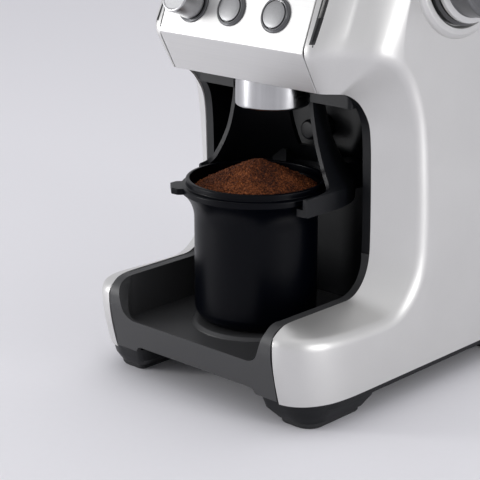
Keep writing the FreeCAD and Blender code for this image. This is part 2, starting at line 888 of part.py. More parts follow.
panel_top_y = head_run - s.fold_front
sheet_body = prism("panel_sheet_body", "YZ_Plane", [[
    (-s.chin_front, s.head_floor),
    (-s.fold_front, s.fold_height),
    (panel_top_y, s.body_top),
    (panel_top_y + s.panel_sheet, s.body_top),
    (s.panel_sheet - s.fold_front, s.fold_height),
    (s.panel_sheet - s.chin_front, s.head_floor),
]], -s.panel_half_width, s.panel_half_width * 2)
button_places = {"program": -s.program_side, "start": s.start_side}
button_hole = s.button_radius + s.button_gap
panel_holes = [Disc(s.knob_shaft_radius + s.button_gap, -s.knob_side, s.control_row)]
panel_holes += [Disc(button_hole, side, s.control_row) for side in button_places.values()]
panel_holes.append(rectangle(-s.window_half_width, s.window_low, s.window_half_width, s.window_high,
                             s.window_corner_radius))
hole_depth = s.panel_sheet * 3
holes = on_panel(prism("panel_holes", "XY_Plane", panel_holes, -hole_depth, hole_depth * 2))
node(cut("panel", sheet_body, holes), "control_panel")

window = prism("window_body", "XY_Plane", [rectangle(
    s.panel_gap - s.window_half_width, s.window_low + s.panel_gap,
    s.window_half_width - s.panel_gap, s.window_high - s.panel_gap, s.window_corner_radius)],
    -s.panel_sheet, s.panel_sheet + s.window_proud)
node(on_panel(window), "display_window")

board_top = s.board_thickness - s.board_depth
board = prism("control_board_body", "XY_Plane", [rectangle(
    -s.board_half_width, s.board_low, s.board_half_width, s.board_high, s.window_corner_radius)],
    -s.board_depth, s.board_thickness)
node(on_panel(board), "control_board")

switches = []
for name, side in button_places.items():
    switches.append(on_panel(prism(name + "_switch", "XY_Plane", [rectangle(
        side - s.switch_half_width, s.control_row - s.switch_half_width,
        side + s.switch_half_width, s.control_row + s.switch_half_width)],
        board_top, s.switch_height)))
node(fuse("switch_pair", *switches), "button_switches")

encoder = prism("encoder_body", "XY_Plane", [
    rectangle(-s.knob_side - s.knob_radius, s.control_row - s.knob_radius,
              s.knob_radius - s.knob_side, s.control_row + s.knob_radius),
    Disc(s.knob_shaft_radius + s.running_fit, -s.knob_side, s.control_row)],
    board_top, -board_top - s.panel_sheet * 2)
node(on_panel(encoder), "knob_encoder")

knob_ring = prism("knob_ring_body", "XY_Plane", [
    Disc(s.knob_ring_radius, -s.knob_side, s.control_row),
    Disc(s.knob_shaft_radius + s.button_gap, -s.knob_side, s.control_row)], 0, s.knob_ring_thickness)
node(on_panel(knob_ring), "knob_base_ring")

knob_bottom = s.knob_ring_thickness + s.button_gap
knob = prism("knob_body", "XY_Plane", [Disc(s.knob_radius, -s.knob_side, s.control_row)],
             knob_bottom, s.knob_length)
pad(knob, "XY_Plane", [Disc(s.knob_shaft_radius, -s.knob_side, s.control_row)],
    board_top + s.button_gap, knob_bottom * 2 - board_top)
node(on_panel(knob), "amount_knob")

stem_end = board_top + s.switch_height + s.button_travel + s.button_gap
for name, side in button_places.items():
    button = prism(name + "_button_body", "XY_Plane", [Disc(s.button_radius, side, s.control_row)],
                   -s.panel_sheet, s.panel_sheet + s.button_proud)
    pad(button, "XY_Plane", [Disc(s.button_stem_radius, side, s.control_row)],
        stem_end, -stem_end)
    node(on_panel(button), name + "_button")

rings = []
for name, side in button_places.items():
    rings.append(on_panel(prism(name + "_ring", "XY_Plane", [
        Disc(s.button_ring_radius, side, s.control_row), Disc(button_hole, side, s.control_row)],
        0, s.button_ring_thickness)))
node(fuse("ring_pair", *rings), "button_rings")


# Dosing bay: liner, outlet, tray.

liner_rear = s.liner_back_wall - s.bay_back
liner_low = s.seam_height + s.tray_gap
liner_front = s.shell_wall * 3 - s.chin_front
liner_top_radius = s.bay_high_radius - s.bay_gap
liner_cheek_outline = [
    (-s.column_front, liner_low),
    (-s.column_front, ceiling_bottom, liner_top_radius),
    (liner_front, ceiling_bottom),
    (liner_front + s.ceiling_thickness, ceiling_top),
    (liner_rear, ceiling_top),
    (liner_rear, liner_low),
]
cheek = prism("cheek", "YZ_Plane", [liner_cheek_outline], liner_inner, s.liner_wall)
liner_span = liner_half_width * 2
back = prism("liner_back", "YZ_Plane", [rectangle(-s.bay_back, s.tray_bottom, liner_rear, ceiling_top)],
             -liner_half_width, liner_span)
ceiling = prism("liner_ceiling", "YZ_Plane", [[
    (liner_front, ceiling_bottom),
    (liner_front + s.ceiling_thickness, ceiling_top),
    (liner_rear, ceiling_top),
    (liner_rear, ceiling_bottom)]], -liner_half_width, liner_span)
boss = prism("outlet_boss", "XY_Plane", [rectangle(
    -liner_inner - s.liner_wall / 2, -s.boss_front, liner_inner + s.liner_wall / 2,
    -s.bay_back + s.liner_back_wall / 2)], s.boss_bottom, ceiling_top - s.boss_bottom)
boss_hole = prism("boss_hole", "XY_Plane", [Disc(s.boss_hole_radius, 0, outlet_y)],
                  s.collar_bottom, ceiling_bottom - s.collar_bottom)
collar_hole = prism("collar_hole", "XY_Plane", [Disc(s.collar_radius, 0, outlet_y)],
                    s.collar_bottom, s.spindle_top - s.collar_bottom)
trigger_hole = prism("trigger_hole", "XZ_Plane", [Disc(
    s.trigger_flange_radius + s.trigger_clearance, 0, s.trigger_height)],
    -s.bay_back * 2, s.bay_back * 3)
liner_blank = fuse("liner_blank", cheek, mirrored("cheek_left", cheek), back, ceiling, boss)
node(cut("liner", liner_blank, boss_hole, collar_hole, trigger_hole), "alcove_liner")

collar = turned("collar_body", [
    (s.collar_radius - s.collar_wall, s.collar_bottom),
    (s.collar_radius, s.collar_bottom, s.collar_edge_radius),
    (s.collar_radius, collar_top),
    (s.collar_radius - s.collar_wall, collar_top),
])
node(place(collar, 0, outlet_y), "outlet_collar")

chute_front = s.outlet_front + s.collar_radius
chute_mouth_y = burr_y - s.chamber_radius - s.deck_gap
chute_half_width = s.collar_radius
chute_rear_step = chamber_bottom + s.deck_gap
chute_lean = s.outlet_front - s.chute_wall
chute = prism("chute_blank", "YZ_Plane", [[
    (-chute_front, collar_top), (-chute_front, collar_top + s.chute_wall * CHUTE_SHOULDER_WALLS),
    (-chute_lean, s.chute_top), (chute_mouth_y, s.chute_top),
    (chute_mouth_y, chute_rear_step), (-s.chute_rear_low, chute_rear_step),
    (-s.chute_rear_low, collar_top)]], -chute_half_width, chute_half_width * 2)
chute_inside = prism("chute_inside", "YZ_Plane", [[
    (s.chute_wall - chute_front, collar_top - s.chute_wall),
    (s.chute_wall - chute_front, collar_top + s.chute_wall * CHUTE_INNER_SHOULDER_WALLS),
    (s.chute_wall * CHUTE_LEAN_WALLS - chute_lean, chamber_mouth_top),
    (chute_mouth_y + s.chute_wall, chamber_mouth_top),
    (chute_mouth_y + s.chute_wall, chamber_mouth_low + s.deck_gap),
    (-s.chute_rear_low - s.chute_wall, chamber_mouth_low + s.deck_gap),
    (-s.chute_rear_low - s.chute_wall, collar_top - s.chute_wall)]],
    s.chute_wall - chute_half_width, (chute_half_width - s.chute_wall) * 2)
node(cut("chute", chute, chute_inside), "outlet_chute")

tray_rear = -s.bay_back - s.tray_gap
tray_blank = prism("tray_blank", "YZ_Plane", [[
    (-s.base_toe, s.tray_bottom),
    (-s.base_front, s.base_top - s.tray_gap, s.base_lip_radius),
    (-s.column_front, s.base_top - s.tray_gap, s.bay_low_radius),
    (-s.column_front, s.seam_height),
    (tray_rear, s.seam_height),
    (tray_rear, s.tray_bottom)]], -liner_half_width, liner_span)
tray_well = prism("tray_well", "XY_Plane", [rectangle(
    -liner_inner, s.tray_front_wall * TRAY_WELL_WALLS - s.base_front, liner_inner, s.bay_back)],
    s.tray_floor, s.seam_height)
tray_hollow = prism("tray_hollow", "XY_Plane", [rectangle(
    -liner_inner, s.tray_front_wall - s.base_toe, liner_inner, s.bay_back)],
    0, s.tray_floor_low)
tray_notch = prism("tray_notch", "XZ_Plane", [[
    (liner_inner, s.base_top),
    (s.tray_lip_half_width, s.tray_lip, s.tray_lip_radius),
    (-s.tray_lip_half_width, s.tray_lip, s.tray_lip_radius),
    (-liner_inner, s.base_top)]],
    -s.base_front * 2, s.base_front + s.tray_front_wall * TRAY_CUT_WALLS)
tray_open = cut("tray_open", tray_blank, tray_well, tray_hollow, tray_notch)
tray_pad = prism("tray_pad", "XY_Plane", [Disc(s.tray_pad_radius, 0, -s.cup_front)],
                 s.tray_floor_low, s.tray_lip - s.tray_floor_low)
node(fuse("tray", tray_open, tray_pad), "grinds_tray")


# Cradle, its bracket and the trigger behind it.

cradle_top = s.boss_bottom - s.tray_gap
wall = s.cradle_wall
funnel_outer = [
    (s.cradle_top_radius, cradle_top),
    (s.cradle_mid_radius, s.cradle_mid_height),
    (s.cradle_rim_radius, s.cradle_rim_height),
    (s.fork_outer, s.fork_top),
    (s.fork_outer, s.fork_bottom),
]
funnel_inner = [
    (s.fork_outer - wall, s.fork_bottom),
    (s.fork_outer - wall, s.fork_top - wall / 2),
    (s.cradle_rim_radius - wall, s.cradle_rim_height - wall / 2),
    (s.cradle_mid_radius - wall, s.cradle_mid_height - wall / 4),
    (s.cradle_top_radius - wall, cradle_top),
]
funnel = turned("funnel", funnel_outer + funnel_inner, 180)
place(funnel, 0, -s.cradle_axis_front, 0, Z_AXIS, 0)
fork = prism("fork", "YZ_Plane", [rectangle(
    -s.fork_front, s.fork_bottom, -s.cradle_axis_front + wall, s.fork_top)],
    s.fork_inner, s.fork_outer - s.fork_inner)
ledge = prism("ledge", "YZ_Plane", [rectangle(
    -s.fork_front, s.fork_bottom, -s.cradle_axis_front + wall, s.ledge_top)],
    s.ledge_inner, s.fork_outer - s.ledge_inner)
bracket_front = s.bay_back + s.bracket_thickness + s.bracket_gap
cradle_lug = prism("cradle_lug", "YZ_Plane", [rectangle(
    -s.lug_reach, s.fork_bottom, -bracket_front, s.cradle_lug_top)],
    s.cradle_lug_inner, s.bracket_half_width - s.cradle_lug_inner)
cradle_blank = fuse("cradle_blank", funnel, fork, mirrored("fork_left", fork), ledge,
                    mirrored("ledge_left", ledge), cradle_lug, mirrored("cradle_lug_left", cradle_lug))
slot_half_width = s.trigger_radius * s.slot_share
trigger_slot = prism("trigger_slot", "YZ_Plane", [rectangle(
    -s.cradle_axis_front, s.trigger_height - slot_half_width, -bracket_front, s.boss_bottom)],
    -slot_half_width, slot_half_width * 2)
collar_way = prism("collar_way", "YZ_Plane", [rectangle(
    -s.cradle_axis_front, s.collar_bottom - s.collar_way_gap, -bracket_front, s.boss_bottom)],
    -s.collar_radius - s.collar_way_gap, (s.collar_radius + s.collar_way_gap) * 2)
node(cut("cradle", cradle_blank, trigger_slot, collar_way), "portafilter_cradle")

bracket_low = s.fork_bottom
bracket = prism("bracket_body", "XZ_Plane", [
    rectangle(-s.bracket_half_width, bracket_low, s.bracket_half_width, s.bracket_top, s.cradle_wall),
    Disc(s.trigger_radius + s.trigger_clearance, 0, s.trigger_height)],
    -s.bay_back - s.bracket_thickness, s.bracket_thickness)
node(bracket, "cradle_bracket")

trigger_front = bracket_front + s.trigger_length
flange_y = s.trigger_clearance - s.bay_back
trigger = prism("trigger_body", "XZ_Plane", [Disc(s.trigger_radius, 0, s.trigger_height)],
                -trigger_front, trigger_front + flange_y + s.trigger_flange)
pad(trigger, "XZ_Plane", [Disc(s.trigger_flange_radius, 0, s.trigger_height)], flange_y, s.trigger_flange)
node(trigger, "trigger_button")

spring_start = flange_y + s.trigger_flange + s.trigger_clearance
spring_length = s.trigger_travel * 2
spring = prism("spring_body", "XZ_Plane", [
    Disc(s.trigger_radius - s.cradle_wall / 2, 0, s.trigger_height),
    Disc(s.trigger_radius - s.cradle_wall, 0, s.trigger_height)], spring_start, spring_length)
node(spring, "trigger_spring")

switch_y = spring_start + spring_length
node(prism("trigger_switch_body", "XZ_Plane", [rectangle(
    -s.trigger_flange_radius, s.trigger_height - s.trigger_flange_radius,
    s.trigger_flange_radius, s.trigger_height + s.trigger_flange_radius)],
    switch_y, s.trigger_radius), "trigger_switch")


# Dosing cup and the grounds in it.

cup_inner = s.cup_radius - s.cup_wall
cup = turned("cup_body", [
    (0, cup_bottom),
    (s.cup_radius, cup_bottom, s.cup_foot_radius),
    (s.cup_radius, s.cup_flare_start),
    (s.cup_flare_radius, s.cup_flange_bottom),
    (s.cup_flange_radius, s.cup_flange_bottom),
    (s.cup_flange_radius, s.cup_flange_top),
    (s.cup_lip_outer, s.cup_flange_top),
    (s.cup_lip_outer, s.cup_top),
    (s.cup_lip_inner, s.cup_top),
    (s.cup_lip_inner, s.cup_flange_top),
    (cup_inner, s.cup_flare_start),
    (cup_inner, cup_bottom + s.cup_wall),
    (0, cup_bottom + s.cup_wall),
])
tab = [
    (s.cup_lip_outer - s.cup_wall / 2, -s.cup_tab_half_width),
    (s.cup_tab_reach, -s.cup_tab_half_width, s.cup_tab_radius),
    (s.cup_tab_reach, s.cup_tab_half_width, s.cup_tab_radius),
    (s.cup_lip_outer - s.cup_wall / 2, s.cup_tab_half_width),
]
pad(cup, "XY_Plane", [spun(tab, s.cup_tab_angle)], s.cup_flange_bottom,
    s.cup_flange_top - s.cup_flange_bottom)
node(place(cup, 0, -s.cup_front), "dosing_cup")

grounds_radius = cup_inner - s.grounds_gap
grounds_edge = s.cup_lip_inner - s.cup_wall - s.grounds_gap * 2
grounds_rise = s.grounds_peak - s.grounds_edge_height
grounds = turned("grounds_body", [
    (0, cup_bottom + s.cup_wall + s.grounds_gap),
    (grounds_radius, cup_bottom + s.cup_wall + s.grounds_gap),
    (grounds_radius, s.cup_flare_start),
    (grounds_edge, s.grounds_edge_height - s.grounds_gap),
    (grounds_edge / 2, s.grounds_edge_height + grounds_rise * HEAP_SHOULDER_SHARE, s.cup_foot_radius),
    (0, s.grounds_peak),
])
node(place(grounds, 0, -s.cup_front), "coffee_grounds")


# Grind-size dial, on an axis along X.

def on_dial(item, x):
    """Place an item turned about Z so that its axis is the dial's, starting at x."""
    return place(item, x, burr_y, s.dial_height, Y_AXIS, 90)


dial_flange = turned("dial_flange_body", [
    (s.flange_inner_radius, 0),
    (s.flange_radius, 0),
    (s.flange_radius - s.flange_proud / 2, s.flange_proud, s.flange_proud / 3),
    (s.flange_inner_radius, s.flange_proud),
])
node(on_dial(dial_flange, s.body_half_width), "dial_flange")

dial_ring = turned("dial_ring_body", [
    (s.bush_flange_radius, 0),
    (s.dial_ring_radius, 0),
    (s.dial_ring_radius, s.dial_ring_proud, s.dial_gap),
    (s.bush_flange_radius, s.dial_ring_proud),
])
node(on_dial(dial_ring, s.body_half_width), "dial_ring")

dial_start = s.dial_ring_proud + s.dial_gap
dial_length = s.dial_reach
shaft_end = dial_length - s.dial_shaft_cap
dial = turned("dial_body", [
    (s.dial_shaft_radius, dial_start),
    (s.dial_skirt_radius, dial_start),
    (s.dial_skirt_radius, dial_start + s.dial_skirt),
    (s.dial_radius, dial_start + s.dial_skirt),
    (s.dial_radius, dial_length, s.dial_gap * 2),
    (0, dial_length),
    (0, shaft_end),
    (s.dial_shaft_radius, shaft_end),
])
node(on_dial(dial, s.body_half_width), "grind_size_dial")

pinion_pitch = s.dial_module * s.pinion_teeth / 2
crown_pitch = s.dial_module * s.crown_teeth / 2
pinion_start = crown_pitch - s.crown_face / 2
dial_shaft = prism("dial_shaft_body", "XY_Plane", [Disc(s.dial_shaft_radius)], 0,
                   s.body_half_width + shaft_end - pinion_start)
node(on_dial(dial_shaft, pinion_start), "dial_shaft")

bush_start = s.body_half_width - s.shell_wall - s.bush_length
dial_bush = turned("dial_bush_body", [
    (s.dial_shaft_radius + s.running_fit, 0),
    (s.bush_radius, 0),
    (s.bush_radius, s.bush_length - s.shell_wall),
    (s.bush_flange_radius, s.bush_length - s.shell_wall),
    (s.bush_flange_radius, s.bush_length),
    (s.dial_shaft_radius + s.running_fit, s.bush_length),
])
node(on_dial(dial_bush, bush_start), "dial_bush")


def tooth(module, pitch, angle):
    """One slim gear tooth with plenty of backlash, pointing at an angle from +X."""
    root = pitch - module * (TOOTH_DEDENDUM + TOOTH_ROOT_EXTRA)
    tip = pitch + module * TOOTH_ADDENDUM
    low = module * TOOTH_ROOT_WIDTH / 2
    high = module * TOOTH_TIP_WIDTH / 2
    return spun([(root, -low), (tip, -high), (tip, high), (root, low)], as_size(angle))


def add_gear(body, module, teeth, start, face, angle, bore=None):
    """Add a toothed wheel to a body, from start along its axis, with a tooth at this angle."""
    pitch = module * teeth / 2
    shapes = [Disc(pitch - module * TOOTH_DEDENDUM)]
    if bore is not None:
        shapes.append(Disc(bore))
    pad(body, "XY_Plane", shapes, start, face)
    first = pad(body, "XY_Plane", [tooth(module, pitch, angle)], start, face)
    ring_pattern(body, first, teeth)


pinion = new_body("dial_pinion_body")
add_gear(pinion, s.dial_module, s.pinion_teeth, 0, s.crown_face, 0, s.dial_shaft_radius)
node(on_dial(pinion, pinion_start), "dial_pinion")

# Adjusting collar: turned by the pinion, it screws the upper burr up and down.
crown_height = s.dial_height - pinion_pitch
crown_plate_top = crown_height - s.dial_module * TOOTH_DEDENDUM
crown_plate_low = crown_plate_top - s.crown_plate
crown_outer = crown_pitch + s.crown_face / 2
collar_bore = s.chamber_radius + s.tray_gap
adjusting = turned("adjusting_body", [
    (collar_bore, crown_plate_low),
    (crown_outer + s.dial_gap, crown_plate_low),
    (crown_outer + s.dial_gap, crown_plate_top),
    (s.collar_ring_radius, crown_plate_top),
    (s.collar_ring_radius, s.collar_ring_top),
    (collar_bore, s.collar_ring_top),
    (collar_bore, s.collar_ledge_top),
    (s.collar_ledge_radius, s.collar_ledge_top),
    (s.collar_ledge_radius, s.collar_ledge_top - s.chute_wall),
    (collar_bore, s.collar_ledge_top - s.chute_wall),
])
half_pitch_angle = 180 / s.crown_teeth
crown_inner = crown_outer - s.crown_face
crown_tooth = pad(adjusting, "XY_Plane", [spun(rectangle(
    crown_inner, -s.crown_tooth_width / 2, crown_outer, s.crown_tooth_width / 2), half_pitch_angle)],
    crown_plate_top - s.crown_tooth_width / 4, s.crown_tooth_height + s.crown_tooth_width / 4)
ring_pattern(adjusting, crown_tooth, s.crown_teeth)
node(place(adjusting, 0, burr_y), "adjusting_collar")


# Grinding chamber and burrs, on the vertical burr axis.

chamber = turned("chamber_body", [
    (s.bearing_radius, chamber_bottom),
    (s.chamber_radius, chamber_bottom),
    (s.chamber_radius, s.chamber_top),
    (s.chamber_bore, s.chamber_top),
    (s.chamber_bore, chamber_mouth_low),
    (s.bearing_radius, chamber_mouth_low),
])
pocket(chamber, "XZ_Plane", [rectangle(
    -s.chamber_mouth_half_width, chamber_mouth_low, s.chamber_mouth_half_width, chamber_mouth_top)],
    -s.chamber_radius * MOUTH_CUT_START, s.chamber_radius * MOUTH_CUT_LENGTH)
node(place(chamber, 0, burr_y), "grind_chamber")

impeller_low = chamber_mouth_low + s.deck_gap
impeller = prism("impeller_body", "XY_Plane", [Disc(s.impeller_radius), Disc(s.spindle_radius)],
                 impeller_low, s.impeller_plate)
paddle = pad(impeller, "XY_Plane", [rectangle(
    s.cone_radius + s.burr_gap, -s.impeller_plate / 2, s.impeller_radius - s.burr_gap,
    s.impeller_plate / 2)], impeller_low + s.impeller_plate / 2, s.paddle_height)
ring_pattern(impeller, paddle, s.paddle_count)
node(place(impeller, 0, burr_y), "impeller")

cone_shoulder = s.cone_bottom + s.cone_skirt
cone_top = s.cone_bottom + s.cone_height
cone = turned("cone_body", [
    (s.spindle_radius, s.cone_bottom),
    (s.cone_radius, s.cone_bottom),
    (s.cone_radius, cone_shoulder),
    (s.cone_top_radius, cone_top),
    (s.spindle_radius, cone_top),
])
flute = pocket(cone, "XY_Plane", [[
    (s.cone_radius + s.burr_gap, -s.flute_depth),
    (s.cone_top_radius - s.flute_depth, 0),
    (s.cone_radius + s.burr_gap, s.flute_depth)]],
    cone_shoulder, s.cone_height)
ring_pattern(cone, flute, s.flute_count)
node(place(cone, 0, burr_y), "lower_burr")

nut = prism("nut_body", "XY_Plane", [
    [(s.nut_radius * math.cos(math.radians(turn)), s.nut_radius * math.sin(math.radians(turn)))
     for turn in range(0, 360, NUT_CORNER_DEGREES)], Disc(s.spindle_radius)], cone_top, s.nut_height)
node(place(nut, 0, burr_y), "burr_lock_nut")

upper_burr = turned("upper_burr_body", [
    (s.cone_radius + s.burr_gap, s.burr_ring_bottom),
    (s.burr_ring_radius, s.burr_ring_bottom),
    (s.burr_ring_radius, s.burr_ring_top),
    (s.carrier_mouth_radius, s.burr_ring_top),
    (s.cone_top_radius + s.burr_gap * 3, cone_top + s.burr_gap),
])
node(place(upper_burr, 0, burr_y), "upper_burr")

carrier_outer = s.burr_ring_radius + s.carrier_wall
carrier = turned("carrier_body", [
    (s.burr_ring_radius, s.burr_ring_bottom + s.carrier_wall),
    (carrier_outer, s.burr_ring_bottom + s.carrier_wall),
    (carrier_outer, s.carrier_flange_bottom),
    (s.carrier_flange_radius, s.carrier_flange_bottom),
    (s.carrier_flange_radius, s.carrier_top),
    (s.carrier_mouth_radius, s.carrier_top),
    (s.carrier_mouth_radius, s.burr_ring_top),
    (s.burr_ring_radius, s.burr_ring_top),
])
node(place(carrier, 0, burr_y), "upper_burr_carrier")

spindle = prism("spindle_body", "XY_Plane", [Disc(s.spindle_radius)], s.spindle_bottom,
                s.spindle_top - s.spindle_bottom)
node(place(spindle, 0, burr_y), "burr_spindle")


# Gearbox: motor pinion, intermediate gear and output gear on three vertical axes.

motor_y = burr_y + s.gear_module * s.motor_distance_modules
gear_reach = s.gear_module * (s.motor_teeth + s.large_teeth) / 2
half_axis_gap = (motor_y - burr_y) / 2
idler_x = square_root(gear_reach * gear_reach - half_axis_gap * half_axis_gap)
idler_y = burr_y + half_axis_gap
idler_to_motor = direction(-idler_x, half_axis_gap)
idler_to_burr = direction(-idler_x, -half_axis_gap)

wall_clearance = s.gear_clearance + s.gearbox_wall
output_reach = s.gear_module * (s.output_teeth / 2 + 1) + wall_clearance
gearbox_right = idler_x + s.gear_module * (s.large_teeth / 2 + 1) + wall_clearance
gearbox_low_y = burr_y - output_reach
gearbox_rear = motor_y + s.gearbox_rear_reach
gearbox_outline = rectangle(-output_reach, gearbox_low_y, gearbox_right, gearbox_rear,
                            s.gearbox_corner_radius)
gearbox_inside = rectangle(
    s.gearbox_wall - output_reach, s.gearbox_wall + gearbox_low_y,
    gearbox_right - s.gearbox_wall, gearbox_rear - s.gearbox_wall,
    s.gearbox_corner_radius - s.gearbox_wall)
gearbox = prism("gearbox_body", "XY_Plane", [gearbox_outline], s.gearbox_bottom,
                s.gearbox_rim - s.gearbox_bottom)
gearbox_floor_top = s.gearbox_bottom + s.gearbox_floor
pocket(gearbox, "XY_Plane", [gearbox_inside], gearbox_floor_top, s.gearbox_rim - gearbox_floor_top)
bearing_low = s.gearbox_bottom + s.deck_gap
boss_radius = s.bearing_radius + s.boss_wall
pad(gearbox, "XY_Plane", [Disc(boss_radius, 0, burr_y)], s.gearbox_bottom,
    s.bearing_height + s.deck_gap)
pocket(gearbox, "XY_Plane", [Disc(s.bearing_radius, 0, burr_y)], bearing_low, s.bearing_height)
pocket(gearbox, "XY_Plane", [
    Disc(s.motor_shaft_radius + s.deck_gap * 2, 0, motor_y),
    Disc(s.idler_pin_radius, idler_x, idler_y)], s.gearbox_bottom, s.gearbox_floor)
node(gearbox, "gearbox_housing")

cover = prism("cover_body", "XY_Plane", [gearbox_outline], s.gearbox_rim, s.gearbox_cover)
cover_bearing_low = s.gearbox_rim + s.gearbox_cover - s.bearing_height
pad(cover, "XY_Plane", [Disc(boss_radius, 0, burr_y)], cover_bearing_low,
    s.bearing_height - s.gearbox_cover / 2)
pocket(cover, "XY_Plane", [Disc(s.bearing_radius, 0, burr_y)], cover_bearing_low, s.bearing_height)
pocket(cover, "XY_Plane", [Disc(s.idler_pin_radius, idler_x, idler_y)], s.gearbox_rim, s.gearbox_cover)
node(cover, "gearbox_cover")

bearings = []
for index, low in enumerate((bearing_low, cover_bearing_low)):
    bearings.append(place(prism(f"bearing_{index}", "XY_Plane", [
        Disc(s.bearing_radius), Disc(s.spindle_radius + s.running_fit)], low, s.bearing_height),
        0, burr_y))
node(fuse("bearing_pair", *bearings), "spindle_bearings")

output_gap_angle = idler_to_burr + 180 + 180 / s.output_teeth
output_gear = new_body("output_gear_body")
add_gear(output_gear, s.gear_module, s.output_teeth, s.high_gear_bottom, s.gear_face,
         output_gap_angle, s.spindle_radius)
node(place(output_gear, 0, burr_y), "output_gear")

idler = new_body("idler_body")
add_gear(idler, s.gear_module, s.large_teeth, s.low_gear_bottom, s.gear_face,
         idler_to_motor + 180 / s.large_teeth, s.idler_pin_radius + s.running_fit)
add_gear(idler, s.gear_module, s.small_teeth, s.low_gear_bottom + s.gear_face,
         s.high_gear_bottom - s.low_gear_bottom, idler_to_burr, s.idler_pin_radius + s.running_fit)
node(place(idler, idler_x, idler_y), "intermediate_gear")

pin = prism("idler_pin_body", "XY_Plane", [Disc(s.idler_pin_radius)], s.gearbox_bottom,
            s.gearbox_rim + s.gearbox_cover - s.gearbox_bottom)
node(place(pin, idler_x, idler_y), "intermediate_pin")

motor_pinion = new_body("motor_pinion_body")
add_gear(motor_pinion, s.gear_module, s.motor_teeth, s.low_gear_bottom, s.gear_face,
         idler_to_motor + 180, s.motor_shaft_radius)
node(place(motor_pinion, 0, motor_y), "motor_pinion")


# Motor hung under the gearbox on rubber mounts.

motor_bottom = s.motor_top - s.motor_length
shaft_low = motor_bottom + s.shell_wall
motor = turned("motor_body", [
    (0, motor_bottom),
    (s.motor_radius, motor_bottom, s.base_lip_radius),
    (s.motor_radius, s.motor_top),
    (s.motor_nose_radius, s.motor_top),
    (s.motor_nose_radius, s.motor_top + s.motor_nose),
    (s.motor_shaft_radius + s.running_fit, s.motor_top + s.motor_nose),
    (s.motor_shaft_radius + s.running_fit, shaft_low),
    (0, shaft_low),
])
node(place(motor, 0, motor_y), "motor_can")

motor_shaft = prism("motor_shaft_body", "XY_Plane", [Disc(s.motor_shaft_radius)],
                    shaft_low + s.deck_gap, s.motor_shaft_top - shaft_low - s.deck_gap)
node(place(motor_shaft, 0, motor_y), "motor_shaft")

mounts = []
for index in range(SIZES["mount_count"]):
    angle = as_size(360 * index) / s.mount_count + 90
    mounts.append(prism(f"motor_mount_{index}", "XY_Plane", [Disc(
        s.mount_radius, s.mount_ring_radius * cosine(angle), motor_y + s.mount_ring_radius * sine(angle))],
        s.motor_top, s.gearbox_bottom - s.motor_top))
node(fuse("mount_set", *mounts), "motor_mounts")

power_board_y = rear_inner - s.power_board_gap
power_board = prism("power_board_body", "XZ_Plane", [rectangle(
    -s.power_board_half_width, s.power_board_low, s.power_board_half_width, s.power_board_high,
    s.cup_tab_radius)], power_board_y, s.board_thickness)
for low_share, high_share in BOARD_PARTS:
    board_rise = s.power_board_high - s.power_board_low
    pad(power_board, "XZ_Plane", [rectangle(
        s.power_board_half_width * -BOARD_PART_LEFT, s.power_board_low + board_rise * low_share,
        s.power_board_half_width * BOARD_PART_RIGHT, s.power_board_low + board_rise * high_share)],
        power_board_y - s.board_part_depth, s.board_part_depth + s.board_thickness / 2)
node(power_board, "power_board")


# Hopper, lid and lock.

hopper_seat = s.body_top + s.deck_collar_height + s.hopper_seat_gap
hopper_neck_bottom = s.body_top - s.hopper_neck_depth
hopper_waist = s.body_top + s.hopper_waist_rise
hopper_top = s.body_top + s.hopper_rise
lid_top = hopper_top + s.lid_height
lock_top = s.body_top + s.lock_rise
throat_outer = s.hopper_throat_radius + s.hopper_wall
neck_inner = s.hopper_neck_radius - s.hopper_wall
cone_low = hopper_neck_bottom - s.hopper_wall / 2
cone_high = cone_low + s.hopper_cone_rise
hopper = turned("hopper_body", [
    (s.hopper_throat_radius, s.hopper_throat_bottom),
    (throat_outer, s.hopper_throat_bottom),
    (throat_outer, cone_low),
    (neck_inner, cone_high),
    (neck_inner, hopper_neck_bottom),
    (s.hopper_neck_radius, hopper_neck_bottom),
    (s.hopper_neck_radius, hopper_seat),
    (s.hopper_shoulder_radius, hopper_seat),
    (s.hopper_waist_radius, hopper_waist),
    (s.hopper_top_radius, hopper_top),
    (s.hopper_top_radius - s.hopper_wall, hopper_top),
    (s.hopper_waist_radius - s.hopper_wall, hopper_waist + s.hopper_wall / 2),
    (s.hopper_shoulder_radius - s.hopper_wall, hopper_seat + s.hopper_wall),
    (s.hopper_throat_radius, cone_low + s.hopper_wall),
])
node(place(hopper, 0, burr_y), "bean_hopper")

lid_seat = hopper_top + s.lid_seat_gap
plug_low = hopper_top - s.lid_plug_depth
lid_inner = s.lid_plug_radius - s.hopper_wall
lid = turned("lid_body", [
    (0, lid_top - s.hopper_wall),
    (lid_inner, lid_top - s.hopper_wall),
    (lid_inner, plug_low),
    (s.lid_plug_radius, plug_low),
    (s.lid_plug_radius, lid_seat),
    (s.hopper_top_radius, lid_seat),
    (s.hopper_top_radius, lid_top, s.lid_edge_radius),
    (0, lid_top),
])
node(place(lid, 0, burr_y), "hopper_lid")

gasket_low = hopper_top - s.gasket_height - s.lid_seat_gap
gasket = turned("gasket_body", [
    (s.lid_plug_radius, gasket_low),
    (s.lid_plug_radius + s.gasket_proud, gasket_low + s.gasket_height / 3),
    (s.lid_plug_radius + s.gasket_proud, gasket_low + s.gasket_height * 2 / 3),
    (s.lid_plug_radius, gasket_low + s.gasket_height),
])
node(place(gasket, 0, burr_y), "lid_gasket")

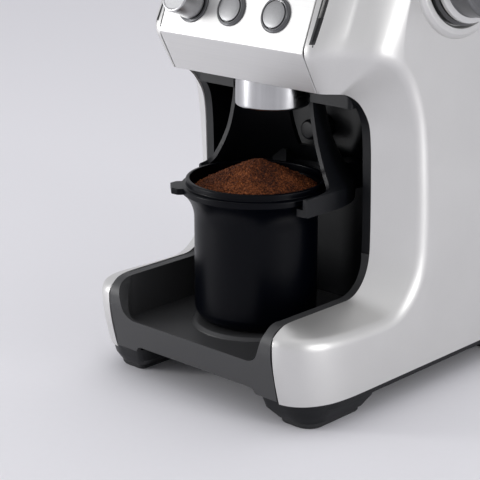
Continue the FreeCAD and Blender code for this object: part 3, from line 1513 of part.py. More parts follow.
gate_low = s.hopper_throat_bottom + s.gate_thickness
lock = prism("lock_body", "XY_Plane", [
    Disc(s.gate_radius),
    Disc(s.gate_hole_radius, s.gate_radius * GATE_HOLE_OFFSET, 0),
    Disc(s.gate_hole_radius, s.gate_radius * -GATE_HOLE_OFFSET, 0)], gate_low, s.gate_thickness)
pad(lock, "XY_Plane", [Disc(s.lock_post_radius)], gate_low, lock_top - gate_low)
pad(lock, "XY_Plane", [Disc(s.lock_knob_radius)], lock_top - s.lock_knob_height, s.lock_knob_height)
node(place(lock, 0, burr_y), "hopper_lock_knob")


# Rebuild, check and write.

doc.recompute()

failed = [item.Name for item in doc.Objects if {"Invalid", "Error"} & set(item.State)]
if failed:
    raise RuntimeError(f"objects that did not rebuild: {failed}")
for item in doc.Objects:
    if item.TypeId == "PartDesign::Pocket" and item.BaseFeature is not None:
        if item.Shape.Volume > item.BaseFeature.Shape.Volume - SMALLEST_REAL_CUT:
            raise RuntimeError(f"{item.Name} cuts nothing")
for item in nodes:
    if item.Shape.isNull() or not item.Shape.isValid():
        raise RuntimeError(f"{item.Label} has no valid shape")

os.makedirs("parts", exist_ok=True)
for item in nodes:
    item.Shape.exportStep(f"parts/{item.Label}.step")
    print(f"{item.Label}: {len(item.Shape.Solids)} solids, {item.Shape.Volume:.0f} mm3")
print(len(nodes), "nodes")
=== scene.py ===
# %% [markdown]
# # A burr coffee grinder, dressed around its CAD model
#
# The CAD model already says how big every piece is and how it moves. This lesson makes what the
# eye sees: rounded edges, satin metal, moulded plastic and a heap of ground coffee. Each visible
# CAD node is replaced by a finer mesh that rides on the same body, and the hidden works inside
# keep their CAD shape and get a finish of their own.

# %% Load the CAD model and note its box
import json
import math
import random

import bmesh
import bpy
from mathutils import Matrix, Vector, noise


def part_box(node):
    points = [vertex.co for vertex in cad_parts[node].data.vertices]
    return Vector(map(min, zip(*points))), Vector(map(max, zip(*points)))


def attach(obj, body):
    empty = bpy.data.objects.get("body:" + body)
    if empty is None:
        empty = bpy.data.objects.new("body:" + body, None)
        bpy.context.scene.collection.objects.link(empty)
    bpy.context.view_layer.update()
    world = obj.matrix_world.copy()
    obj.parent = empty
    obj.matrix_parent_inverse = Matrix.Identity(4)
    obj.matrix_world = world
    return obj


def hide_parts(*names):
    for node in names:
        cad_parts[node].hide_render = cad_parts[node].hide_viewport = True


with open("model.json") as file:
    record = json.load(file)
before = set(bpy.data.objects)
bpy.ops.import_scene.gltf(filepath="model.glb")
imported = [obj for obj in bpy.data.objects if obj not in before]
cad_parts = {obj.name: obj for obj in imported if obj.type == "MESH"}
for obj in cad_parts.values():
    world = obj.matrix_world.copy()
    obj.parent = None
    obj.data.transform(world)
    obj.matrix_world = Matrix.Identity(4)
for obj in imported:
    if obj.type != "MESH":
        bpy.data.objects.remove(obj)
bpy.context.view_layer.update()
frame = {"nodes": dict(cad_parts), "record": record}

MM = 0.001
nodes = frame["nodes"]

# %% [markdown]
# ## Measures
#
# Everything below is written in millimetres about the casing's own middle plane, the way a maker
# would mark it on the bench. The dial stands out on one side only, so the casing's middle is not
# the middle of the whole. The liner of the bay is symmetric, so its box gives that plane.

# %% Find the casing's middle plane
liner_low, liner_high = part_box("alcove_liner")
MIDDLE = (liner_low.x + liner_high.x) / 2
FOLD = (-79.15, 166.0)
BODY_TOP = 253.0
LEAN = math.atan2(34.45, BODY_TOP - FOLD[1])
BURR_Y = -0.8
BURR = (0, BURR_Y)
OUTLET = (0, -49)
CUP = (0, -60)
TRIGGER = (0, 116)
print("middle plane at", round(MIDDLE / MM, 3), "mm; panel leans", round(math.degrees(LEAN), 2))


def at(x, y, z):
    return Vector((MIDDLE + x * MM, y * MM, z * MM))


def on_panel(across, up, out):
    """A point on the leaning control panel: across, up the slope and outwards."""
    y = FOLD[0] + up * math.sin(LEAN) - out * math.cos(LEAN)
    z = FOLD[1] + up * math.cos(LEAN) + out * math.sin(LEAN)
    return across, y, z


# %% [markdown]
# ## Workshop helpers
#
# Four ways of making a piece cover nearly all of a grinder. A sweep joins rings of points with
# quads. A prism is an outline pushed along one axis. A turned piece is a profile spun on a lathe.
# Carving joins or cuts closed pieces with a Boolean. Real edges are never sharp, so each piece
# ends with a bevel and weighted normals, which keep the flats flat and light up the edges.

# %% Outlines with rounded corners
def rounded(corners, steps=6, closed=True):
    """Corners are (a, b) or (a, b, radius); each radius becomes an arc."""
    line = []
    count = len(corners)
    for index, corner in enumerate(corners):
        here = Vector(corner[:2])
        ends = not closed and index in (0, count - 1)
        if len(corner) < 3 or ends:
            line.append(tuple(here))
            continue
        before = Vector(corners[index - 1][:2]) - here
        after = Vector(corners[(index + 1) % count][:2]) - here
        half = before.angle(after) / 2
        reach = corner[2] / math.tan(half)
        first = here + before.normalized() * reach
        last = here + after.normalized() * reach
        for step in range(steps + 1):
            share = step / steps
            # a quadratic curve weighted so that it is a true arc
            weight = math.sin(half)
            a, b, c = (1 - share) ** 2, 2 * share * (1 - share) * weight, share ** 2
            line.append(tuple((first * a + here * b + last * c) / (a + b + c)))
    return line


def smooth_line(points, steps):
    """A smooth line through points, with this many steps between neighbours."""
    line = []
    for index in range(len(points) - 1):
        p0, p1 = Vector(points[max(index - 1, 0)]), Vector(points[index])
        p2, p3 = Vector(points[index + 1]), Vector(points[min(index + 2, len(points) - 1)])
        for step in range(steps):
            t = step / steps
            line.append(0.5 * (2 * p1 + (p2 - p0) * t + (2 * p0 - 5 * p1 + 4 * p2 - p3) * t ** 2
                               + (3 * p1 - p0 - 3 * p2 + p3) * t ** 3))
    line.append(Vector(points[-1]))
    return line


# %% Meshes from points
def piece(name, points, faces):
    mesh = bpy.data.meshes.new(name)
    mesh.from_pydata([at(*point) for point in points], [], faces)
    shape = bmesh.new()
    shape.from_mesh(mesh)
    bmesh.ops.remove_doubles(shape, verts=shape.verts, dist=1e-6)
    bmesh.ops.recalc_face_normals(shape, faces=shape.faces)
    shape.to_mesh(mesh)
    shape.free()
    mesh.shade_smooth()
    made = bpy.data.objects.new(name, mesh)
    bpy.context.scene.collection.objects.link(made)
    return made


def sweep(name, rings, capped=True, joined=False):
    """Quads between rings of points. joined closes the last ring onto the first."""
    across = len(rings[0])
    points = [point for ring in rings for point in ring]
    faces = []
    spans = len(rings) if joined else len(rings) - 1
    for row in range(spans):
        low, high = row * across, (row + 1) % len(rings) * across
        for index in range(across):
            beside = (index + 1) % across
            faces.append((low + index, low + beside, high + beside, high + index))
    if capped and not joined:
        faces.append(tuple(range(across))[::-1])
        faces.append(tuple(range(len(points) - across, len(points))))
    return piece(name, points, faces)


PLANES = {
    "XY": lambda a, b, along: (a, b, along),
    "XZ": lambda a, b, along: (a, along, b),
    "YZ": lambda a, b, along: (along, a, b),
    "panel": on_panel,
}


def circle(radius, centre=(0, 0), steps=64):
    angles = [math.tau * step / steps for step in range(steps)]
    return [(centre[0] + radius * math.cos(a), centre[1] + radius * math.sin(a)) for a in angles]


def prism(name, plane, outline, start, end):
    put = PLANES[plane]
    return sweep(name, [[put(a, b, along) for a, b in outline] for along in (start, end)])


def turned(name, profile, centre=(0, 0), plane="XY", steps=96):
    """A closed profile of (radius, height) spun about an axis through centre."""
    put = PLANES[plane]
    rings = []
    for radius, height in profile:
        rings.append([put(a, b, height) for a, b in circle(radius, centre, steps)])
    return sweep(name, rings, joined=True)


# %% Carving, mirroring and softening
def settled(made):
    """Work the modifiers into the mesh."""
    graph = bpy.context.evaluated_depsgraph_get()
    mesh = bpy.data.meshes.new_from_object(made.evaluated_get(graph))
    made.modifiers.clear()
    made.data = mesh
    return made


def carve(made, operation, *tools, folded=False):
    """folded is for a wall that was thickened from a surface and may cross itself."""
    for tool in tools:
        step = made.modifiers.new("carve", "BOOLEAN")
        step.operation = operation
        step.object = tool
        step.solver = "EXACT"
        step.use_self = folded
        step.use_hole_tolerant = folded
    settled(made)
    for tool in tools:
        bpy.data.objects.remove(tool)
    return made


def mirrored(made, name):
    """The same piece on the other side of the middle plane."""
    mesh = made.data.copy()
    mesh.transform(Matrix.Translation((2 * MIDDLE, 0, 0)) @ Matrix.Scale(-1, 4, (1, 0, 0)))
    mesh.flip_normals()
    twin = bpy.data.objects.new(name, mesh)
    bpy.context.scene.collection.objects.link(twin)
    return twin


def soften(made, width, segments=3, degrees=32):
    edge = made.modifiers.new("edges", "BEVEL")
    edge.width = width * MM
    edge.segments = segments
    edge.limit_method = "ANGLE"
    edge.angle_limit = math.radians(degrees)
    edge.use_clamp_overlap = True
    made.data.shade_smooth()
    shade = made.modifiers.new("shading", "WEIGHTED_NORMAL")
    shade.keep_sharp = True
    return made


def thicken(made, depth):
    wall = made.modifiers.new("wall", "SOLIDIFY")
    wall.thickness = depth * MM
    wall.offset = -1
    wall.use_even_offset = False
    return made


# %% [markdown]
# ## A small language for finishes
#
# A finish is a tree of shader nodes. Wrapping a socket in a class with its own plus and times
# lets the tree be written as a sum, and one method makes every other node. Only the sockets that
# can be baked are ever linked; anything that is the same all over is set as a plain number.

# %% The socket wrapper and the finish
class Reading:
    """One output socket that can be added and scaled."""

    def __init__(self, finish, socket):
        self.finish = finish
        self.socket = socket

    def math(self, operation, first, second):
        return self.finish.node("ShaderNodeMath", {"operation": operation}, {0: first, 1: second})

    def __add__(self, other):
        return self.math("ADD", self, other)

    __radd__ = __add__

    def __mul__(self, other):
        return self.math("MULTIPLY", self, other)

    __rmul__ = __mul__


class Finish:
    """A material in the making."""

    def __init__(self, name, **plain):
        self.material = bpy.data.materials.new(name)
        self.material.use_nodes = True
        self.tree = self.material.node_tree
        self.shader = self.tree.nodes["Principled BSDF"]
        self.set(**plain)

    def set(self, **values):
        for name, value in values.items():
            socket = self.shader.inputs[name.replace("_", " ")]
            if isinstance(value, Reading):
                self.tree.links.new(value.socket, socket)
            else:
                socket.default_value = value

    def node(self, kind, settings=None, sockets=None, output=0):
        made = self.tree.nodes.new(kind)
        for name, value in (settings or {}).items():
            if name == "stops":
                ramp = made.color_ramp
                while len(ramp.elements) < len(value):
                    ramp.elements.new(0.5)
                for element, (position, colour) in zip(ramp.elements, value):
                    element.position = position
                    element.color = colour
            else:
                setattr(made, name, value)
        for name, value in (sockets or {}).items():
            if isinstance(value, Reading):
                self.tree.links.new(value.socket, made.inputs[name])
            else:
                made.inputs[name].default_value = value
        return Reading(self, made.outputs[output])

    def place(self, stretch=(1, 1, 1)):
        spot = self.node("ShaderNodeTexCoord", output="Object")
        return self.node("ShaderNodeMapping", None, {"Vector": spot, "Scale": stretch})

    def noise(self, scale, stretch=(1, 1, 1), detail=3.0, roughness=0.5):
        """Noise with this many grains to the metre."""
        return self.node("ShaderNodeTexNoise", None, {
            "Vector": self.place(stretch), "Scale": scale, "Detail": detail, "Roughness": roughness})

    def cells(self, scale, stretch=(1, 1, 1)):
        return self.node("ShaderNodeTexVoronoi", None, {
            "Vector": self.place(stretch), "Scale": scale})

    def blend(self, share, first, second):
        """Two colours mixed by a share."""
        return self.node("ShaderNodeMix", {"data_type": "RGBA"}, {0: share, 6: first, 7: second},
                         output=2)

    def bump(self, height, strength, distance):
        self.set(Normal=self.node("ShaderNodeBump", None, {
            "Height": height, "Strength": strength, "Distance": distance * MM}))
        return self.material


def grey(value, tint=0.0):
    return (value - tint, value - tint / 2, value + tint, 1.0)


# %% [markdown]
# ## Finishes
#
# The casing is satin silver: a fine blasted grain that never shows a sharp reflection. The panel
# is sheet steel brushed from side to side, so its noise is drawn out along X. The collar's noise is
# drawn out along Z, for the upright streaks that a turned sleeve reflects. Moulded black plastic
# has a spark-eroded grain, which a cell pattern gives, and a faint cloud over it.

# %% Metals
def satin_silver():
    f = Finish("satin_silver", Metallic=1.0)
    grain = f.noise(2600, detail=2)
    cloud = f.noise(26, detail=3)
    f.set(Base_Color=f.blend(cloud * 0.6 + grain * 0.4, grey(0.62, -0.008), grey(0.75, -0.008)))
    f.set(Roughness=0.38 + 0.10 * grain + 0.06 * cloud)
    return f.bump(grain, 0.14, 0.06)


def brushed_panel():
    f = Finish("brushed_panel", Metallic=1.0)
    strokes = f.noise(420, (0.02, 5.0, 5.0), detail=5, roughness=0.65)
    wide = f.noise(30, (0.25, 2.0, 2.0))
    f.set(Base_Color=f.blend(strokes * 0.7 + wide * 0.3, grey(0.62, -0.006), grey(0.78, -0.006)))
    f.set(Roughness=0.34 + 0.18 * strokes)
    return f.bump(strokes, 0.10, 0.05)


def turned_metal(name, dark, light, low, high, stretch):
    f = Finish(name, Metallic=1.0)
    rings = f.noise(520, stretch, detail=4, roughness=0.6)
    cloud = f.noise(60)
    f.set(Base_Color=f.blend(rings * 0.75 + cloud * 0.25, grey(dark, 0.003), grey(light, 0.003)))
    f.set(Roughness=low + (high - low) * rings)
    return f.bump(rings, 0.10, 0.04)


# %% Plastics, rubber and coating
def moulded_black(name, low, high, rough, grain_size, strength, level=0.5):
    f = Finish(name, Specular_IOR_Level=level)
    grain = f.cells(grain_size)
    cloud = f.noise(38, detail=4)
    fine = f.noise(grain_size * 1.7, detail=2)
    f.set(Base_Color=f.blend(cloud * 0.5 + grain * 0.5, grey(low, 0.0008), grey(high, 0.0012)))
    f.set(Roughness=rough + 0.10 * cloud + 0.06 * fine)
    return f.bump(grain * 0.6 + fine * 0.4, strength, 0.12)


def gloss_black():
    f = Finish("polished_black", Coat_Roughness=0.05)
    cloud = f.noise(22, detail=4)
    specks = f.noise(900, detail=2)
    f.set(Base_Color=f.blend(cloud, grey(0.010, 0.0006), grey(0.020, 0.001)))
    f.set(Roughness=0.14 + 0.10 * cloud + 0.04 * specks, Coat_Weight=0.35 + 0.2 * cloud)
    return f.bump(cloud + specks * 0.1, 0.03, 0.2)


def plain_plastic(name, low, high, rough):
    f = Finish(name)
    cloud = f.noise(45, detail=4)
    grain = f.noise(1500, detail=2)
    f.set(Base_Color=f.blend(cloud, low, high), Roughness=rough + 0.12 * grain)
    return f.bump(grain, 0.12, 0.08)


def smoked_clear():
    f = Finish("smoked_clear", Transmission_Weight=1.0, IOR=1.49)
    haze = f.noise(60, detail=4)
    wipe = f.noise(300, (1, 1, 0.1), detail=3)
    f.set(Base_Color=f.blend(haze, (0.72, 0.73, 0.75, 1), (0.82, 0.83, 0.85, 1)))
    f.set(Roughness=0.03 + 0.05 * haze + 0.03 * wipe)
    return f.bump(haze, 0.02, 0.3)


# %% Coffee and workshop metals
def ground_coffee():
    f = Finish("ground_coffee", Specular_IOR_Level=0.25)
    flecks = f.cells(900)
    tone = f.noise(900, detail=4, roughness=0.75)
    cloud = f.noise(70, detail=3)
    mixed = f.node("ShaderNodeValToRGB", {"stops": [
        (0.36, (0.010, 0.003, 0.002, 1)), (0.46, (0.070, 0.018, 0.006, 1)),
        (0.56, (0.210, 0.060, 0.017, 1)), (0.72, (0.460, 0.165, 0.055, 1))]},
        {"Fac": tone * 0.75 + cloud * 0.25})
    f.set(Base_Color=mixed, Roughness=0.70 + 0.2 * tone)
    return f.bump(flecks * 0.5 + tone * 0.5, 0.6, 0.35)


def circuit_board():
    f = Finish("lacquered_board", Coat_Weight=0.4, Coat_Roughness=0.1)
    tracks = f.node("ShaderNodeTexBrick", None, {
        "Vector": f.place(), "Scale": 160.0, "Mortar Size": 0.12,
        "Color1": (0.02, 0.11, 0.05, 1), "Color2": (0.03, 0.15, 0.07, 1),
        "Mortar": (0.10, 0.28, 0.12, 1)})
    cloud = f.noise(80)
    f.set(Base_Color=tracks, Roughness=0.28 + 0.2 * cloud)
    return f.bump(cloud, 0.05, 0.1)


finishes = {
    "silver_shell": satin_silver(),
    "panel_steel": brushed_panel(),
    "collar_steel": turned_metal("turned_collar", 0.24, 0.70, 0.13, 0.22, (0.35, 0.35, 0.004)),
    "matte_black": moulded_black("moulded_black", 0.003, 0.007, 0.34, 1900, 0.30, 0.26),
    "gloss_black": gloss_black(),
    "grey_plastic": plain_plastic("grey_moulding", (0.16, 0.16, 0.165, 1), (0.22, 0.22, 0.225, 1), 0.45),
    "rubber": moulded_black("foot_rubber", 0.014, 0.026, 0.62, 1200, 0.40, 0.35),
    "control_metal": turned_metal("turned_aluminium", 0.38, 0.56, 0.28, 0.42, (3, 3, 3)),
    "dark_metal": turned_metal("dark_anodised", 0.09, 0.18, 0.24, 0.36, (3, 3, 3)),
    "tinted_clear": smoked_clear(),
    "coffee": ground_coffee(),
    "circuit_board": circuit_board(),
    "hard_steel": turned_metal("ground_steel", 0.40, 0.56, 0.24, 0.38, (2, 2, 6)),
    "gear_nylon": plain_plastic("natural_nylon", (0.66, 0.63, 0.54, 1), (0.76, 0.73, 0.64, 1), 0.42),
    "brass": turned_metal("turned_brass", 0.40, 0.60, 0.22, 0.36, (3, 3, 3)),
    "motor_steel": turned_metal("zinc_can", 0.36, 0.50, 0.34, 0.50, (1, 1, 1)),
}
# painted shade: a dark grey finish laid on the bottom of the groove in each side shell, standing in for
# the shade that falls in it
groove_painted_shade = moulded_black("groove_painted_shade", 0.030, 0.050, 0.55, 1500, 0.2)
cup_black = moulded_black("cup_black", 0.0005, 0.0014, 0.24, 2300, 0.20, 0.11)
tray_black = moulded_black("tray_black", 0.030, 0.042, 0.42, 2100, 0.28, 0.5)
button_metal = turned_metal("button_metal", 0.22, 0.34, 0.36, 0.50, (3, 3, 3))
dial_metal = turned_metal("dial_metal", 0.13, 0.22, 0.28, 0.40, (6, 2, 2))
print("finishes for the slots:", len(finishes))


# %% Hand a piece over to its body
def hand_over(made, body, slot, *replaced, finish=None):
    """Dress a piece, let it ride on its body and stand for its CAD nodes."""
    made.data.materials.clear()
    made.data.materials.append(finish or finishes[slot])
    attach(made, body)
    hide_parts(*replaced)
    print(made.name, "rides on", body, "with", len(made.data.polygons), "faces")
    return made


# %% [markdown]
# ## Camera, light and floor
#
# The camera stands to the right of the front and a little above, with a long lens. Three broad
# soft lights do what a product studio does: a large one from the front left whitens the leaning
# panel, a tall one lights the right side, and an overhead one lifts the base. Two small strips
# stand low on either side and draw the soft upright lines on the cup. The world is pale so that
# satin metal has something bright to reflect.

# %% The camera
CAMERA_SPOT = (486.46, -589.06, 291.81)
CAMERA_TURN, CAMERA_DROP = math.radians(43.201), math.radians(17.226)
camera_data = bpy.data.cameras.new("studio_camera")
camera_data.lens = 119.4
camera_data.sensor_width = 36
camera_data.clip_end = 50
camera = bpy.data.objects.new("studio_camera", camera_data)
right = Vector((math.cos(CAMERA_TURN), math.sin(CAMERA_TURN), 0))
ahead = Vector((-math.sin(CAMERA_TURN) * math.cos(CAMERA_DROP),
                math.cos(CAMERA_TURN) * math.cos(CAMERA_DROP), -math.sin(CAMERA_DROP)))
above = right.cross(ahead)
turn = Matrix((right, above, -ahead)).transposed().to_4x4()
camera.matrix_world = Matrix.Translation(at(*CAMERA_SPOT)) @ turn
bpy.context.scene.collection.objects.link(camera)
bpy.context.scene.camera = camera
bpy.context.scene.view_settings.view_transform = "Standard"
print("camera at", tuple(round(v, 3) for v in camera.location))


# %% The lights and the world
def soft_light(name, spot, target, size, power, tone=(1, 1, 1)):
    lamp = bpy.data.lights.new(name, "AREA")
    lamp.shape = "RECTANGLE"
    lamp.size, lamp.size_y = size
    lamp.energy = power
    lamp.color = tone
    made = bpy.data.objects.new(name, lamp)
    start, end = at(*spot), at(*target)
    aim = (end - start).to_track_quat("-Z", "Y").to_matrix().to_4x4()
    made.matrix_world = Matrix.Translation(start) @ aim
    bpy.context.scene.collection.objects.link(made)


soft_light("front_left_light", (-1150, -1130, 860), (0, -40, 160), (1.4, 1.5), 2.6)
soft_light("left_strip", (-640, -720, 190), (0, -60, 60), (0.13, 0.34), 3.2)
soft_light("right_strip", (900, 40, 190), (0, -60, 60), (0.13, 0.34), 1.6)
soft_light("right_light", (1500, 60, 560), (40, -20, 120), (0.6, 1.3), 1.6)
soft_light("top_light", (0, 100, 1700), (0, -20, 100), (1.8, 1.8), 3.0)

world = bpy.data.worlds.new("pale_studio")
world.use_nodes = True
world.node_tree.nodes["Background"].inputs["Color"].default_value = (0.80, 0.80, 0.83, 1)
world.node_tree.nodes["Background"].inputs["Strength"].default_value = 0.81
bpy.context.scene.world = world

# %% The floor
floor = piece("studio_floor", [(-6000, -4000, 0), (6000, -4000, 0), (6000, 9000, 0), (-6000, 9000, 0)],
              [(0, 1, 2, 3)])
cover = Finish("floor_cover")
speck = cover.noise(300)
cover.set(Base_Color=cover.blend(speck, (0.845, 0.838, 0.870, 1), (0.865, 0.858, 0.890, 1)),
          Roughness=0.75 + 0.1 * speck)
floor.data.materials.append(cover.material)

# %% [markdown]
# ## The side shells
#
# Each side is one pressed and satin-finished cover: a flat face, a band that slopes in towards the
# open bay, and a head that is chamfered back from the control panel. A soft crease parts the band
# from the face. The shape could be sculpted, but a table of stations is easier to check: each
# station gives a point on the bay's edge, a point on the crease and the way the face runs on from
# there. A smooth line through the stations and a rounded turn at the crease give the surface.

# %% The stations of the sloping band
BAY = 52.2
SIDE = 71.0
STATIONS = [  # (edge x, y, z), (crease x, y, z), way the side runs on, in degrees
    ((BAY, -105.6, 45.4), (52.6, -106.7, 42.6), -90),
    ((BAY, -103.7, 46.9), (56.5, -105.9, 43.4), -90),
    ((BAY, -101.3, 48.3), (60.5, -103.8, 43.9), -90),
    ((BAY, -98.7, 49.4), (64.2, -100.3, 44.1), -90),
    ((BAY, -95.5, 49.9), (67.0, -95.8, 44.0), -90),
    ((BAY, -91.0, 50.0), (69.2, -90.0, 43.8), -90),
    ((BAY, -86.0, 50.0), (70.4, -83.0, 43.4), -90),
    ((BAY, -80.0, 50.0), (70.9, -75.5, 43.0), -90),
    ((BAY, -73.0, 50.0), (SIDE, -68.0, 42.6), -90),
    ((BAY, -66.0, 50.0), (SIDE, -61.0, 42.3), -90),
    ((BAY, -59.0, 50.0), (SIDE, -54.0, 42.2), -88),
    ((BAY, -54.5, 50.1), (SIDE, -48.5, 42.2), -80),
    ((BAY, -51.0, 51.0), (SIDE, -43.6, 42.6), -66),
    ((BAY, -47.6, 52.9), (SIDE, -38.6, 44.2), -50),
    ((BAY, -44.4, 56.0), (SIDE, -33.4, 47.6), -34),
    ((BAY, -42.0, 59.8), (SIDE, -29.2, 52.0), -20),
    ((BAY, -40.4, 64.2), (SIDE, -26.0, 57.6), -10),
    ((BAY, -39.6, 69.5), (SIDE, -24.2, 64.2), -3),
    ((BAY, -39.4, 76.0), (SIDE, -23.4, 72.0), 0),
    ((BAY, -39.5, 90.0), (SIDE, -23.6, 88.0), 0),
    ((BAY, -39.9, 105.0), (SIDE, -24.8, 104.0), 0),
    ((BAY, -40.4, 118.0), (SIDE, -26.2, 118.7), 2),
    ((BAY, -41.4, 127.0), (SIDE, -28.2, 130.0), 6),
    ((BAY, -43.0, 131.8), (SIDE, -31.6, 140.0), 16),
    ((BAY, -45.6, 136.0), (SIDE, -35.2, 147.6), 28),
    ((BAY, -49.4, 140.5), (SIDE, -39.6, 153.8), 40),
    ((BAY, -54.0, 143.8), (SIDE, -44.6, 158.6), 52),
    ((BAY, -58.8, 146.0), (70.4, -49.4, 162.0), 62),
    ((BAY, -62.6, 146.9), (68.8, -54.0, 164.4), 68.4),
    ((51.2, -63.9, 147.0), (66.4, -57.6, 165.6), 68.4),
    ((50.2, -64.8, 147.0), (63.2, -61.0, 166.2), 68.4),
    ((49.3, -65.5, 147.0), (60.2, -64.2, 166.4), 68.4),
    ((48.5, -66.2, 147.0), (57.2, -67.6, 166.5), 68.4),
    ((47.8, -66.9, 147.0), (54.6, -71.0, 166.5), 68.4),
    ((47.0, -67.5, 147.0), (52.2, -74.0, 166.4), 68.4),
    ((46.2, -68.0, 147.0), (50.2, -76.2, 166.3), 68.4),
    ((45.4, -68.4, 147.0), (48.6, -77.7, 166.2), 68.4),
    ((44.8, -68.7, 147.0), (46.8, -78.7, 166.1), 68.4),
    ((44.35, -68.9, 147.0), (44.35, -79.1, 166.0), 68.4),
]
STATION_STEPS = 4
CORNER_END = 8 * STATION_STEPS
HEAD_START = 26 * STATION_STEPS
edge_line = smooth_line([edge for edge, crease, way in STATIONS], STATION_STEPS)
crease_line = smooth_line([crease for edge, crease, way in STATIONS], STATION_STEPS)
way_line = smooth_line([(way, 0, 0) for edge, crease, way in STATIONS], STATION_STEPS)
print("stations along the band:", len(edge_line))

# %% The shell's surface
BAND_ROWS, TURN_ROWS, WALL_ROWS = 7, 7, 9
SHELL_BOTTOM, SHELL_REAR = 13.3, 82.0
CREASE_TURN, CREASE_TURN_SHARE = 4.2, 0.42
HEAD_SHARES = (0.02, 0.045, 0.08, 0.13, 0.20, 0.29, 0.42, 0.60, 0.80, 1.0)
GROOVE = (46.9, 48.5)
GROOVE_SHIFT, GROOVE_DEPTH = 0.7, 1.5
GROOVE_START, GROOVE_FACE = 169.5, 8e-6
SWELL_START, SWELL_END = 48.6, 57.2
SWELL_SIDE, SWELL_FRONT, SWELL_ROUND, SWELL_RUN_IN = 0.30, 0.45, 0.6, 5
HEAD_SLANT, HEAD_LEVEL, HEAD_INNER = 0.952, 188, (44.35, -70.4)
HEAD_TURN_START, HEAD_TURN = 62.0, 0.055
CREASE_FADE = 16
TOE_TOP, TOE_HEIGHT, TOE_SET_BACK, TOE_CURVE = 38.4, 25.1, 4.9, 1.6


def chamfer(x, z):
    """The head's slanted front corner, which leans back with the panel."""
    y = HEAD_INNER[1] + (x - HEAD_INNER[0]) * HEAD_SLANT
    y += max(0, x - HEAD_TURN_START) ** 2 * HEAD_TURN
    return y + (z - HEAD_LEVEL) * math.tan(LEAN)


def head_point(x, z, start):
    fade = math.exp((start.z - z) / CREASE_FADE)
    y = chamfer(x, z) + (start.y - chamfer(x, start.z)) * fade
    if GROOVE[0] < x < GROOVE[1]:
        return x - GROOVE_SHIFT, y + GROOVE_DEPTH, z
    swell = 0
    if SWELL_START < x < SWELL_END:
        share = (x - SWELL_START) / (SWELL_END - SWELL_START)
        swell = math.sin(math.pi * share) ** SWELL_ROUND * min(1, (z - start.z) / SWELL_RUN_IN)
    return x + swell * SWELL_SIDE, y - swell * SWELL_FRONT, z


points, faces = [], []


def add_point(spot):
    points.append(tuple(spot))
    return len(points) - 1


columns = []
for index, (edge, crease, way) in enumerate(zip(edge_line, crease_line, way_line)):
    if CORNER_END <= index <= HEAD_START:
        crease.x = SIDE
    width = (edge - crease).length
    reach = min(CREASE_TURN, width * CREASE_TURN_SHARE)
    angle = math.radians(way.x)
    inner = crease + (edge - crease) / width * reach
    outer = crease + Vector((0, math.cos(angle), math.sin(angle))) * reach
    column = [add_point(edge.lerp(inner, row / BAND_ROWS)) for row in range(BAND_ROWS)]
    for row in range(TURN_ROWS + 1):
        t = row / TURN_ROWS
        column.append(add_point(inner * (1 - t) ** 2 + crease * 2 * t * (1 - t) + outer * t ** 2))
    if index <= CORNER_END:
        for row in range(1, WALL_ROWS + 1):
            z = outer.z + (SHELL_BOTTOM - outer.z) * row / WALL_ROWS
            lean = TOE_SET_BACK * (max(0, TOE_TOP - z) / TOE_HEIGHT) ** TOE_CURVE
            column.append(add_point((outer.x, outer.y + lean, z)))
    elif index >= HEAD_START:
        for share in HEAD_SHARES:
            z = outer.z + (BODY_TOP - outer.z) * share
            column.append(add_point(head_point(outer.x, z, outer)))
    columns.append(column)

for index in range(len(columns) - 1):
    left, beside = columns[index], columns[index + 1]
    for row in range(min(len(left), len(beside)) - 1):
        faces.append((left[row], left[row + 1], beside[row + 1], beside[row]))

turn_end = BAND_ROWS + TURN_ROWS
outline = columns[CORNER_END][turn_end:][::-1]
outline += [column[turn_end] for column in columns[CORNER_END + 1:HEAD_START]]
outline += columns[HEAD_START][turn_end:]
outline += [add_point((SIDE, SHELL_REAR, BODY_TOP)), add_point((SIDE, SHELL_REAR, SHELL_BOTTOM))]
for corner in outline[:-2]:
    points[corner] = (SIDE,) + points[corner][1:]
faces.append(tuple(outline[::-1]))
print("shell points:", len(points))

# %% Build both shells
right_shell = piece("side_shell_right", points, faces)
if max(right_shell.data.polygons, key=lambda face: face.area).normal.x < 0:
    right_shell.data.flip_normals()
left_shell = mirrored(right_shell, "side_shell_left")
for made, node in ((right_shell, "right_side_shell"), (left_shell, "left_side_shell")):
    thicken(made, 1.8)
    soften(made, 0.7, 3, 50)
    hand_over(made, "housing", "silver_shell", node)
    # faces at the bottom of the head's groove take the painted shade finish as their second material
    made.data.materials.append(groove_painted_shade)
    for face in made.data.polygons:
        across = abs(face.center.x - MIDDLE) / MM
        inside = GROOVE[0] - 0.9 < across < GROOVE[1] - 0.2
        if inside and face.center.z > GROOVE_START * MM and face.area < GROOVE_FACE:
            face.material_index = 1

# %% [markdown]
# ## Rear cover and base
#
# Behind the side shells a single U-shaped cover closes the back, with a block of cooling slots
# and a gland for the lead. Below, a black chassis plate shows as a thin line under the silver,
# and four sloped feet with rubber pads lift it off the worktop. The feet are lofted between three
# outlines, because a cast foot is never a plain block.

# %% The rear cover and its gland
REAR, REAR_SEAM = 108.0, 82.3
cover_line = rounded([(SIDE, REAR_SEAM), (SIDE, REAR, 22), (-SIDE, REAR, 22), (-SIDE, REAR_SEAM),
                      (-SIDE + 2.4, REAR_SEAM), (-SIDE + 2.4, REAR - 2.4, 19.6),
                      (SIDE - 2.4, REAR - 2.4, 19.6), (SIDE - 2.4, REAR_SEAM)], 12)
rear_cover = prism("rear_cover_skin", "XY", cover_line, SHELL_BOTTOM, BODY_TOP)
slots = []
for row in range(8):
    low = 150 + 7 * row
    slots.append(prism(f"slot_{row}", "XZ", rounded([
        (-24, low, 1.4), (24, low, 1.4), (24, low + 3, 1.4), (-24, low + 3, 1.4)]), 100, 112))
carve(rear_cover, "DIFFERENCE", *slots)
soften(rear_cover, 0.5, 2)
hand_over(rear_cover, "housing", "silver_shell", "rear_cover")

